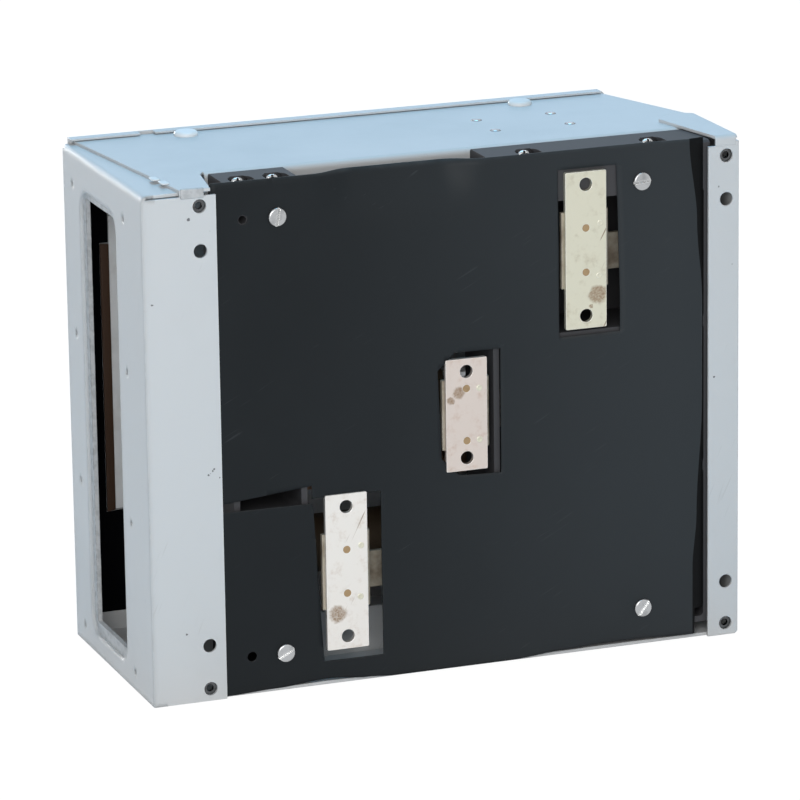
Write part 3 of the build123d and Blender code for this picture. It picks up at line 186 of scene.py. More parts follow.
def add_turned(bm, profile, centre, rearward=False):
    """Spins a profile of (radius, height) in millimetres round an upright or a rearward axis."""
    x, y, z = centre
    if rearward:
        points = [(x + r, y + h, z) for r, h in profile]
        axis, pivot = (0, 1, 0), (x, 0, z)
    else:
        points = [(x + r, y, z + h) for r, h in profile]
        axis, pivot = (0, 0, 1), (x, y, 0)
    made = [bm.verts.new(Vector(point) * MM) for point in points]
    edges = [bm.edges.new(pair) for pair in zip(made, made[1:])]
    bmesh.ops.spin(bm, geom=made + edges, cent=Vector(pivot) * MM, axis=axis, dvec=(0, 0, 0),
                   angle=2 * math.pi, steps=TURN_STEPS, use_merge=True, use_duplicate=False)


def add_plate(bm, outline, thickness, bevel, upright=True):
    """Adds a plate with eased edges from an outline in millimetres, standing or lying."""
    ring = [bm.verts.new(Vector(point) * MM) for point in outline]
    face = bm.faces.new(ring)
    push = Vector((0, thickness * MM, 0)) if upright else Vector((0, 0, thickness * MM))
    moved = push_out(bm, [face], push)
    round_edges(bm, edges_of(ring + moved), bevel)


# Shader helpers


def effect_group(name, inputs, output, output_type="NodeSocketFloat"):
    """Starts a shader node group with number inputs and one output."""
    tree = bpy.data.node_groups.new(name, "ShaderNodeTree")
    for socket, default in inputs.items():
        made = tree.interface.new_socket(name=socket, in_out="INPUT", socket_type="NodeSocketFloat")
        made.default_value = default
    tree.interface.new_socket(name=output, in_out="OUTPUT", socket_type=output_type)
    return tree, tree.nodes.new("NodeGroupInput"), tree.nodes.new("NodeGroupOutput")


def feed(tree, socket, value):
    """Sets a socket to a number or links another socket to it."""
    if isinstance(value, (int, float)):
        socket.default_value = value
    else:
        tree.links.new(value, socket)


def maths(tree, operation, first, second=None, clamp=False):
    """Adds a Math node and returns its output."""
    node = tree.nodes.new("ShaderNodeMath")
    node.operation = operation
    node.use_clamp = clamp
    feed(tree, node.inputs[0], first)
    if second is not None:
        feed(tree, node.inputs[1], second)
    return node.outputs[0]


def noise_at(tree, coordinates, scale, detail=3.0, roughness=0.5):
    """Adds a noise texture and returns its factor."""
    node = tree.nodes.new("ShaderNodeTexNoise")
    node.inputs["Detail"].default_value = detail
    node.inputs["Roughness"].default_value = roughness
    feed(tree, node.inputs["Scale"], scale)
    tree.links.new(coordinates, node.inputs["Vector"])
    return node.outputs[0]


def remap(tree, value, low, high, to_low=0.0, to_high=1.0):
    """Adds a smooth Map Range node and returns its result."""
    node = tree.nodes.new("ShaderNodeMapRange")
    node.interpolation_type = "SMOOTHSTEP"
    for socket, given in zip(node.inputs[:5], (value, low, high, to_low, to_high)):
        feed(tree, socket, given)
    return node.outputs[0]


def object_coordinates(tree):
    """Adds object coordinates and returns them."""
    return tree.nodes.new("ShaderNodeTexCoord").outputs["Object"]


def axes_of(tree, vector):
    """Splits a vector and returns its X, Y and Z outputs."""
    parts = tree.nodes.new("ShaderNodeSeparateXYZ")
    tree.links.new(vector, parts.inputs[0])
    return parts.outputs


# Shared shader effects


def build_worn_and_highlighted_edges():
    """A mask of a broken band along edges, where paint rubs off; on the enamel the band is a painted
    highlight.
    """
    tree, given, out = effect_group("Worn and highlighted edges", {"Width": 0.0007, "Amount": 0.5, "Scale": 60.0}, "Mask")
    bevel = tree.nodes.new("ShaderNodeBevel")
    bevel.samples = 4
    tree.links.new(given.outputs["Width"], bevel.inputs["Radius"])
    geometry = tree.nodes.new("ShaderNodeNewGeometry")
    dot = tree.nodes.new("ShaderNodeVectorMath")
    dot.operation = "DOT_PRODUCT"
    tree.links.new(bevel.outputs["Normal"], dot.inputs[0])
    tree.links.new(geometry.outputs["Normal"], dot.inputs[1])
    edge = remap(tree, maths(tree, "SUBTRACT", 1.0, dot.outputs["Value"]), 0.02, 0.2)
    spread = noise_at(tree, object_coordinates(tree), given.outputs["Scale"], 4.0, 0.6)
    threshold = maths(tree, "SUBTRACT", 1.0, given.outputs["Amount"])
    broken = remap(tree, spread, threshold, maths(tree, "ADD", threshold, 0.1))
    tree.links.new(maths(tree, "MULTIPLY", edge, broken, True), out.inputs["Mask"])


def build_soft_edges():
    """A normal that rounds edges by a radius, only where X lies beyond a plane."""
    tree, given, out = effect_group("Soft edges", {"Radius": 0.001, "Beyond": -1.0}, "Normal",
                                    "NodeSocketVector")
    rounding = tree.nodes.new("ShaderNodeBevel")
    rounding.samples = 6
    geometry = tree.nodes.new("ShaderNodeNewGeometry")
    x = axes_of(tree, object_coordinates(tree))["X"]
    past = maths(tree, "GREATER_THAN", x, given.outputs["Beyond"])
    blend = tree.nodes.new("ShaderNodeMix")
    blend.data_type = "VECTOR"
    tree.links.new(past, blend.inputs["Factor"])
    tree.links.new(given.outputs["Radius"], rounding.inputs["Radius"])
    tree.links.new(geometry.outputs["Normal"], blend.inputs[4])
    tree.links.new(rounding.outputs["Normal"], blend.inputs[5])
    tree.links.new(blend.outputs[1], out.inputs["Normal"])


def build_settled_dust():
    """A patchy mask on faces that look up."""
    tree, given, out = effect_group("Settled dust", {"Amount": 0.3, "Scale": 40.0}, "Mask")
    geometry = tree.nodes.new("ShaderNodeNewGeometry")
    upward = remap(tree, axes_of(tree, geometry.outputs["Normal"])["Z"], 0.3, 0.95)
    cloud = noise_at(tree, object_coordinates(tree), given.outputs["Scale"], 5.0, 0.65)
    spread = maths(tree, "MULTIPLY", upward, remap(tree, cloud, 0.3, 0.7, 0.25, 1.0))
    tree.links.new(maths(tree, "MULTIPLY", spread, given.outputs["Amount"], True), out.inputs["Mask"])


def build_blotches():
    """A mask of soft clouds between two levels."""
    tree, given, out = effect_group("Blotches", {"Scale": 20.0, "Low": 0.4, "High": 0.7}, "Mask")
    cloud = noise_at(tree, object_coordinates(tree), given.outputs["Scale"], 4.0, 0.6)
    tree.links.new(remap(tree, cloud, given.outputs["Low"], given.outputs["High"]), out.inputs["Mask"])


def build_fine_grain():
    """A height of fine and broad grain."""
    tree, given, out = effect_group("Fine grain", {"Scale": 900.0}, "Height")
    place = object_coordinates(tree)
    fine = noise_at(tree, place, given.outputs["Scale"], 2.0, 0.5)
    broad = noise_at(tree, place, maths(tree, "MULTIPLY", given.outputs["Scale"], 0.2), 2.0, 0.5)
    total = maths(tree, "ADD", maths(tree, "MULTIPLY", fine, 0.6), maths(tree, "MULTIPLY", broad, 0.4))
    tree.links.new(total, out.inputs["Height"])


def build_scratches():
    """A mask of thin streaks, all one way, in scattered places."""
    tree, given, out = effect_group("Scratches", {"Scale": 30.0, "Amount": 0.2, "Angle": 0.4}, "Mask")
    turned = tree.nodes.new("ShaderNodeVectorRotate")
    turned.rotation_type = "Y_AXIS"
    tree.links.new(object_coordinates(tree), turned.inputs["Vector"])
    tree.links.new(given.outputs["Angle"], turned.inputs["Angle"])
    stretch = tree.nodes.new("ShaderNodeVectorMath")
    stretch.operation = "MULTIPLY"
    stretch.inputs[1].default_value = (22.0, 22.0, 1.0)
    tree.links.new(turned.outputs["Vector"], stretch.inputs[0])
    streak = noise_at(tree, stretch.outputs[0], given.outputs["Scale"], 1.0, 0.4)
    where = noise_at(tree, object_coordinates(tree), given.outputs["Scale"], 2.0, 0.5)
    both = maths(tree, "MULTIPLY", remap(tree, streak, 0.70, 0.76), remap(tree, where, 0.5, 0.6))
    tree.links.new(maths(tree, "MULTIPLY", both, given.outputs["Amount"], True), out.inputs["Mask"])


def effect(tree, name, output, **values):
    """Places a shared group in a material with its own values."""
    node = tree.nodes.new("ShaderNodeGroup")
    node.node_tree = bpy.data.node_groups[name]
    for socket, value in values.items():
        node.inputs[socket].default_value = value
    return node.outputs[output]


# Making of a finish

# The tint of a finish that names none, as a share of its colour
PLAIN_TINT = 0.88
# How far a spot's rim wanders and how far blotches move the edge of a painted sheen, in metres
SPOT_RAGGED = 0.004
PAINTED_SHEEN_DRIFT = 0.05
# How much rougher spots and dust are than what they lie on
SPOT_ROUGHER = 0.25
DUST_ROUGHER = 0.3
# Where a spot ends and where it is full, as shares of its radius, and how faint its patches get
CHIP_RIM = (1.04, 0.9, 1.0)
STAIN_RIM = (1.2, 0.7, 0.5)


def mixed(tree, mask, below, above):
    """Mixes two colours by a mask and returns the result."""
    node = tree.nodes.new("ShaderNodeMix")
    node.data_type = "RGBA"
    tree.links.new(mask, node.inputs["Factor"])
    for socket, given in ((node.inputs[6], below), (node.inputs[7], above)):
        if isinstance(given, (tuple, list)):
            socket.default_value = (*given, 1.0)
        else:
            tree.links.new(given, socket)
    return node.outputs[2]


def spot_mask(tree, spots, rim):
    """Returns a mask of round, ragged and patchy spots at (x, z, radius) in millimetres."""
    outer, inner, faintest = rim
    place = object_coordinates(tree)
    swing = maths(tree, "SUBTRACT", noise_at(tree, place, 260.0, 3.0, 0.6), 0.5)
    ragged = maths(tree, "MULTIPLY", swing, SPOT_RAGGED)
    axes = axes_of(tree, place)
    total = None
    for x, z, radius in spots:
        across = maths(tree, "POWER", maths(tree, "SUBTRACT", axes["X"], x * MM), 2.0)
        along = maths(tree, "POWER", maths(tree, "SUBTRACT", axes["Z"], z * MM), 2.0)
        reach = maths(tree, "SQRT", maths(tree, "ADD", across, along))
        reach = maths(tree, "ADD", reach, ragged)
        spot = remap(tree, reach, radius * MM * outer, radius * MM * inner)
        total = spot if total is None else maths(tree, "MAXIMUM", total, spot)
    worn = remap(tree, noise_at(tree, place, 700.0, 3.0, 0.7), 0.3, 0.7, faintest, 1.0)
    return maths(tree, "MULTIPLY", total, worn)


def surface(name, colour, roughness, metallic=0.0, sheen=0.5, rough_swing=0.08, tint=None, tint_scale=12.0,
            tint_range=(0.45, 0.75), grain=900.0, grain_depth=0.00002, wear_and_highlight=None, wear_and_highlight_amount=0.45,
            dust=0.0, scratch=None, scratch_amount=0.3, scratch_angle=0.4, spots=None, spot_colour=None,
            spot_rim=CHIP_RIM, soft=0.0, beyond=-1.0, across=None, upward=None):
    """Makes one finish: colour variation, worn edges and painted edge highlights, dust, scratches, stains,
    grain and soft edges.

    Across is a painted sheen of one colour between two places along X, upward a painted reflection between
    two heights."""
    material = bpy.data.materials.new(name)
    material.use_nodes = True
    tree = material.node_tree
    shader = tree.nodes["Principled BSDF"]
    blotch = effect(tree, "Blotches", "Mask", Scale=tint_scale, Low=tint_range[0], High=tint_range[1])
    paint = mixed(tree, blotch, colour, tint or tuple(c * PLAIN_TINT for c in colour))
    rough = maths(tree, "ADD", maths(tree, "MULTIPLY", blotch, rough_swing), roughness)
    # A painted sheen: a lighter colour between two places along X
    if across:
        x_from, x_to, painted_sheen = across
        x = axes_of(tree, object_coordinates(tree))["X"]
        drift = maths(tree, "ADD", x, maths(tree, "MULTIPLY", blotch, PAINTED_SHEEN_DRIFT))
        paint = mixed(tree, remap(tree, drift, x_from, x_to), paint, painted_sheen)
    # A painted reflection: one colour above a height
    if upward:
        z_from, z_to, painted_reflection = upward
        z = axes_of(tree, object_coordinates(tree))["Z"]
        paint = mixed(tree, remap(tree, z, z_from, z_to), paint, painted_reflection)
    if spots:
        mask = spot_mask(tree, spots, spot_rim)
        paint = mixed(tree, mask, paint, spot_colour)
        rough = maths(tree, "ADD", rough, maths(tree, "MULTIPLY", mask, SPOT_ROUGHER))
    if scratch:
        mask = effect(tree, "Scratches", "Mask", Scale=28.0, Amount=scratch_amount, Angle=scratch_angle)
        paint = mixed(tree, mask, paint, scratch)
    # The edge band is worn paint on most finishes and a painted highlight along the enamel's edges
    if wear_and_highlight:
        width = bpy.context.scene.switch_sizes.edge_round
        mask = effect(tree, "Worn and highlighted edges", "Mask", Width=width, Amount=wear_and_highlight_amount, Scale=90.0)
        paint = mixed(tree, mask, paint, wear_and_highlight)
    if dust:
        mask = effect(tree, "Settled dust", "Mask", Amount=dust, Scale=45.0)
        paint = mixed(tree, mask, paint, tuple(bpy.context.scene.switch_colours.dust))
        rough = maths(tree, "ADD", rough, maths(tree, "MULTIPLY", mask, DUST_ROUGHER), True)
    tree.links.new(paint, shader.inputs["Base Color"])
    tree.links.new(rough, shader.inputs["Roughness"])
    shader.inputs["Metallic"].default_value = metallic
    shader.inputs["Specular IOR Level"].default_value = sheen
    bump = tree.nodes.new("ShaderNodeBump")
    bump.inputs["Strength"].default_value = 1.0
    bump.inputs["Distance"].default_value = grain_depth
    tree.links.new(effect(tree, "Fine grain", "Height", Scale=grain), bump.inputs["Height"])
    if soft:
        rounded = effect(tree, "Soft edges", "Normal", Radius=soft, Beyond=beyond)
        tree.links.new(rounded, bump.inputs["Normal"])
    tree.links.new(bump.outputs["Normal"], shader.inputs["Normal"])
    return material


# Finishes

# Stains on the straps and chips in the enamel as (x, z, radius), in millimetres
STAIN_SPOTS = ((-102.8, 239.0, 6.2), (77.0, 47.0, 5.6), (-7.0, 184.0, 4.2), (-1.5, 179.0, 2.6),
               (-98.5, 232.0, 1.6))
CHIP_SPOTS = ((170.6, 314.0, 0.5), (156.9, 305.5, 0.7), (195.5, 262.0, 0.7), (161.5, 148.5, 0.55),
              (160.2, 149.6, 0.5), (158.8, 151.0, 0.5), (157.6, 152.2, 0.45), (154.0, 146.5, 0.6),
              (178.0, 46.0, 0.7), (162.0, 296.0, 0.5), (-187.0, 302.0, 0.5), (-196.5, 250.0, 0.7),
              (-184.0, 176.0, 0.5))
# The end plate's wide bends lie beyond this place along X, in metres
END_PLATE_BENDS = 0.192
# Between these heights, in metres, the moulded bases turn from black to a painted bluish reflection on
# their tops
BASE_TOP_REFLECTION_HEIGHTS = (0.3285, 0.3315)
# Name, colour and tint of each strap's plating
STRAP_TONES = (
    ("strap_plate_a", (0.80, 0.77, 0.73), (0.58, 0.50, 0.43)),
    ("strap_plate_b", (0.66, 0.58, 0.53), (0.50, 0.36, 0.29)),
    ("strap_plate_c", (0.66, 0.64, 0.52), (0.46, 0.42, 0.32)),
)
FINISH_NODES = {
    "enamel": ("top_panel", "bottom_panel", "handle_end_plate", "top_corner_tab", "front_cover",
               "fuse_door", "lower_rail"),
    "end_plate_enamel": ("window_end_plate",),
    "window_frame_enamel": ("window_frame",),
    "white_caps": ("cover_domes",),
    "zinc_sheet": ("crossbar_stop", "cover_hinge_leaves", "door_hinge_leaves", "handle_bracket",
                   "operating_handle", "drive_link", "crossbar_crank", "padlock_tab", "handle_shaft"),
    "zinc": ("barrier_screws", "base_screws", "blade_pivot_pins", "hinge_pins", "lug_screws",
             "door_latch", "roof_rivets"),
    "nut_zinc_painted_shade": ("clinch_nuts",),
    "black_moulding": ("line_base", "load_base", "crossbar", "handle_bezel", "rear_barrier"),
    "black_grip": ("handle_grip", "defeat_button"),
    "strap_plate_a": ("bus_strap_a",),
    "strap_plate_b": ("bus_strap_b",),
    "strap_plate_c": ("bus_strap_c",),
    "silver_plate": ("line_jaws", "line_fuse_clips", "load_fuse_clips", "blade_hinge_a",
                     "blade_hinge_b", "blade_hinge_c"),
    "copper": ("knife_blade_a", "knife_blade_b", "knife_blade_c"),
    "bracket_plate": ("line_bracket_a", "line_bracket_b", "line_bracket_c"),
    "rivet_copper": ("strap_rivets",),
    "tinned": ("load_lugs",),
    "fibre": ("arc_chutes", "lower_phase_barrier", "upper_phase_barrier"),
    "fuse_tube_painted_shade": ("fuse_a", "fuse_b", "fuse_c"),
}


def make_enamels(enamel):
    """The case's enamel, the end plate's with wide soft bends, the window frame's and the dome caps'."""
    # The light band along the enamel's edges is a painted highlight
    painted = dict(colour=enamel, roughness=0.34, sheen=0.22, tint=tuple(c * 0.95 for c in enamel),
                   tint_scale=7.0, grain=700.0, grain_depth=0.000016, wear_and_highlight=(0.80, 0.82, 0.84),
                   wear_and_highlight_amount=0.62, dust=0.06, scratch=(0.42, 0.42, 0.41), scratch_amount=0.25,
                   spots=CHIP_SPOTS, spot_colour=(0.16, 0.16, 0.17))
    surface("enamel", soft=0.0012, **painted)
    surface("end_plate_enamel", soft=0.0055, beyond=END_PLATE_BENDS, **painted)
    surface("window_frame_enamel", colour=(0.52, 0.53, 0.54), roughness=0.6, tint=(0.42, 0.43, 0.44),
            tint_scale=220.0, tint_range=(0.4, 0.65), grain=420.0, grain_depth=0.0001,
            wear_and_highlight=(0.10, 0.10, 0.11), wear_and_highlight_amount=0.62)
    surface("white_caps", colour=(0.78, 0.80, 0.81), roughness=0.35, tint=(0.70, 0.71, 0.71), grain=600.0,
            soft=0.0008)


def make_zincs(zinc):
    """Zinc of the screws and the mechanism's sheet metal, the lugs' tin, and near-black zinc as painted
    shade in nut holes.
    """
    surface("zinc", colour=zinc, roughness=0.24, metallic=1.0, tint=(0.30, 0.31, 0.32), tint_scale=160.0,
            grain=1500.0, wear_and_highlight=(0.90, 0.90, 0.88), wear_and_highlight_amount=0.7, soft=0.0005)
    # The nuts' near-black zinc paints the shade inside the holes they sit in
    surface("nut_zinc_painted_shade", colour=(0.10, 0.105, 0.11), roughness=0.25, metallic=1.0, tint=(0.05, 0.05, 0.05),
            tint_scale=300.0, grain=1200.0, grain_depth=0.0001)
    surface("zinc_sheet", colour=(0.50, 0.51, 0.51), roughness=0.38, metallic=1.0, tint=(0.36, 0.36, 0.36),
            tint_scale=40.0, dust=0.15)
    surface("tinned", colour=(0.62, 0.63, 0.62), roughness=0.35, metallic=1.0, tint=(0.5, 0.5, 0.49),
            tint_scale=50.0)


def make_platings(plating):
    """Stained and scratched plating, in a tone for each strap and one for the jaws and clips."""
    for name, tone, tint in STRAP_TONES + (("silver_plate", plating, (0.60, 0.50, 0.42)),):
        surface(name, colour=tone, roughness=0.36, metallic=0.55, rough_swing=0.2, tint=tint,
                tint_scale=150.0, tint_range=(0.5, 0.9), grain=500.0, grain_depth=0.00006,
                wear_and_highlight=(0.92, 0.91, 0.87), wear_and_highlight_amount=0.85, scratch=(0.26, 0.19, 0.13), scratch_amount=0.9,
                scratch_angle=0.5, spots=STAIN_SPOTS, spot_colour=(0.28, 0.19, 0.12), spot_rim=STAIN_RIM,
                soft=0.0006)


def make_coppers(copper):
    """Copper of the knife blades, dull plate of the brackets and brown of the rivets."""
    surface("copper", colour=copper, roughness=0.5, metallic=0.45, tint=(0.32, 0.25, 0.17),
            tint_scale=60.0, wear_and_highlight=(0.70, 0.60, 0.50), soft=0.0008)
    surface("bracket_plate", colour=(0.40, 0.36, 0.29), roughness=0.5, metallic=0.3,
            tint=(0.19, 0.15, 0.11), tint_scale=60.0, wear_and_highlight=(0.70, 0.68, 0.62), soft=0.0008)
    surface("rivet_copper", colour=(0.38, 0.26, 0.14), roughness=0.4, metallic=0.5,
            tint=(0.28, 0.19, 0.10), tint_scale=200.0, wear_and_highlight=(0.30, 0.18, 0.10))


def make_mouldings(moulding):
    """Black of the bases, deep enough to paint the shade in their hollows, a painted bluish reflection on
    their tops, and the handle's grip.
    """
    surface("black_moulding", colour=moulding, roughness=0.55, sheen=0.05, tint=(0.002, 0.002, 0.0024),
            tint_scale=30.0, grain=600.0, grain_depth=0.00003, wear_and_highlight=(0.02, 0.02, 0.021), dust=0.02,
            soft=0.0006, upward=(*BASE_TOP_REFLECTION_HEIGHTS, (0.03, 0.07, 0.12)))
    surface("black_grip", colour=(0.014, 0.014, 0.015), roughness=0.5, grain=500.0, grain_depth=0.00005,
            soft=0.0006)


def make_fibres(fibre):
    """Brown of the barriers and arc chutes, and a darker brown of the fuse tubes that partly paints the
    shade behind the straps.
    """
    surface("fibre", colour=fibre, roughness=0.75, grain=350.0, grain_depth=0.0001, dust=0.1)
    surface("fuse_tube_painted_shade", colour=(0.13, 0.095, 0.06), roughness=0.6, tint=(0.09, 0.065, 0.04), grain=300.0,
            grain_depth=0.00008)


def make_window_finishes():
    """Black liner, partly painted shade of the unlit inside, brown board and white card behind the cable
    window.
    """
    surface("liner_black_painted_shade", colour=(0.003, 0.003, 0.004), roughness=0.8, grain=300.0, sheen=0.02)
    surface("board_brown", colour=(0.07, 0.033, 0.016), roughness=0.7, tint=(0.048, 0.022, 0.011),
            grain=300.0, grain_depth=0.00008)
    surface("card_white", colour=(0.93, 0.94, 0.95), roughness=0.7, tint=(0.84, 0.84, 0.84),
            tint_scale=60.0, grain=900.0)


def make_sheet_finishes(black):
    """Slate black of the insulating sheet, with a painted sheen lighter towards the handle side, and a
    darker copy as painted shade on its edge past the crease.
    """
    surface("sheet_black", colour=black, roughness=0.50, rough_swing=0.10, sheen=0.14,
            tint=(0.014, 0.017, 0.0195), tint_scale=5.0, tint_range=(0.35, 0.75), grain=500.0,
            grain_depth=0.00003, wear_and_highlight=(0.12, 0.13, 0.14), wear_and_highlight_amount=0.55, scratch=(0.05, 0.055, 0.06),
            scratch_amount=0.35, scratch_angle=1.1, dust=0.08, across=(0.13, -0.17, (0.030, 0.035, 0.039)))
    surface("sheet_shade", colour=(0.0035, 0.004, 0.0045), roughness=0.7, grain=500.0, sheen=0.1,
            wear_and_highlight=(0.10, 0.11, 0.12), wear_and_highlight_amount=0.4)


def dress_nodes():
    """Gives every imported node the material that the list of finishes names."""
    left_over = set(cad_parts) - {name for names in FINISH_NODES.values() for name in names}
    if left_over:
        raise RuntimeError(f"no finish for {sorted(left_over)}")
    for material, names in FINISH_NODES.items():
        for name in names:
            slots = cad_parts[name].data.materials
            slots.clear()
            slots.append(bpy.data.materials[material])


class SWITCH_OT_finishes(bpy.types.Operator):
    """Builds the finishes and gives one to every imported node"""

    bl_idname = "switch.finishes"
    bl_label = "Finishes"

    def execute(self, context):
        tones = context.scene.switch_colours
        for build in (build_worn_and_highlighted_edges, build_soft_edges, build_settled_dust, build_blotches,
                      build_fine_grain, build_scratches):
            build()
        make_enamels(tuple(tones.enamel))
        make_zincs(tuple(tones.zinc))
        make_platings(tuple(tones.plating))
        make_coppers(tuple(tones.copper))
        make_mouldings(tuple(tones.moulding))
        make_fibres(tuple(tones.fibre))
        make_window_finishes()
        make_sheet_finishes(tuple(tones.sheet))
        dress_nodes()
        return {"FINISHED"}


# Insulating sheet

SHEET_CELLS = 72
# Convex outlines listed anticlockwise as (x, z)
CUT_OUTS = (
    ((-117.0, 213.0), (-76.5, 213.0), (-76.5, 322.5), (-117.0, 322.5)),
    ((-36.0, 128.0), (-7.5, 129.1), (4.6, 141.3), (6.8, 199.5), (-4.8, 210.4), (-36.0, 210.4)),
    ((46.0, 16.0), (86.0, 16.0), (92.7, 125.0), (46.0, 125.0)),
    ((92.4, 122.0), (156.5, 123.0), (156.5, 127.8), (92.4, 133.5)),
    ((-178.0, -2.0), (-169.5, -2.0), (-170.0, 20.5), (-178.0, 20.5)),
)
# How far round a cut's line faces are split and how near a vertex takes the cut, in metres
CUT_REACH = 0.02
CUT_TOLERANCE = 1e-7
INSIDE_MARGIN = 1e-9
SCREW_HOLES = ((134.4, 25.0), (134.4, 310.0))
HOLE_RADIUS = 3.25
# Degrees from one corner of a hole to the next
HOLE_TURN = 30
# Step along X, row and step along Z in the noise, for the sheet's broad waves and for its small ones
WAVES = ((0.011, 3.7, 0.009), (0.03, 9.1, 0.024))
# The sheet is held flat at these places and waves freely from the reach on
HELD_X = (134.4, 112.0, -134.4)
HELD_Z = (25.0, 310.0)
HOLD_REACH = 60.0
WAVE_LIMIT = 1.2
# The crease goes from its place to a line of (z, x), and what lies up to the shift's end goes with it
CREASE_X = -168.0
CREASE_WIDTH = 34.0
CREASE_LINE = ((1.0, -169.0), (49.0, -169.0), (85.0, -171.8), (161.0, -175.5), (229.0, -175.5),
               (281.0, -172.0), (335.0, -166.6))
SHIFT_END = -100.0
# A face this little past the crease, in metres, is still shaded
CREASE_MARGIN = 2e-5
# The top edge leans in by these shares at (x, share) and (z, share)
LEAN_ACROSS = ((-26.0, 0.0), (0.0, 1.0), (62.0, 1.0), (88.0, 0.0))
LEAN_UPWARD = ((285.0, 0.0), (337.0, 1.0))
# The bottom edge runs along (x, z), and the sheet is drawn to it from this height down
UNEVEN_BELOW = 16.0
BOTTOM_EDGE = ((-170.0, 3.4), (-108.0, 4.6), (-80.0, 3.4), (-41.0, 1.0), (39.0, 1.0), (56.0, 2.2),
               (84.0, 4.4), (118.0, 2.0), (151.0, 0.8))
# The flap under the slit stands out by (z, millimetres) times (x, share)
FLAP_X = 90.0
FLAP_Z = (46.0, 123.5)
FLAP_RISE = ((46.0, 0.0), (123.0, 1.4))
FLAP_FADE = ((90.0, 1.0), (158.0, 0.4))


def sides(outline):
    """Pairs each corner of an outline with the next."""
    return zip(outline, outline[1:] + outline[:1])


def inside(outline, x, z):
    """Tells whether a point lies within a convex outline listed anticlockwise."""
    return all((bx - ax) * (z - az) - (bz - az) * (x - ax) >= -INSIDE_MARGIN
               for (ax, az), (bx, bz) in sides(outline))


def between(stops, value):
    """Interpolates smoothly between (place, amount) stops."""
    if value <= stops[0][0]:
        return stops[0][1]
    for (a, va), (b, vb) in zip(stops, stops[1:]):
        if value <= b:
            t = (value - a) / (b - a)
            return va + (vb - va) * t * t * (3 - 2 * t)
    return stops[-1][1]


def cut_out(bm, outline):
    """Splits a standing sheet along a convex outline in millimetres and takes out what lies inside."""
    outline = [(x * MM, z * MM) for x, z in outline]
    for (ax, az), (bx, bz) in sides(outline):
        x_from, x_to = min(ax, bx) - CUT_REACH, max(ax, bx) + CUT_REACH
        z_from, z_to = min(az, bz) - CUT_REACH, max(az, bz) + CUT_REACH
        faces = [f for f in bm.faces if x_from < f.calc_center_median().x < x_to
                 and z_from < f.calc_center_median().z < z_to]
        edges = list({e for f in faces for e in f.edges})
        verts = list({v for f in faces for v in f.verts})
        bmesh.ops.bisect_plane(bm, geom=faces + edges + verts, dist=CUT_TOLERANCE, plane_co=(ax, 0, az),
                               plane_no=(-(bz - az), 0, bx - ax))
    centres = {face: face.calc_center_median() for face in bm.faces}
    gone = [face for face, centre in centres.items() if inside(outline, centre.x, centre.z)]
    bmesh.ops.delete(bm, geom=gone, context="FACES")


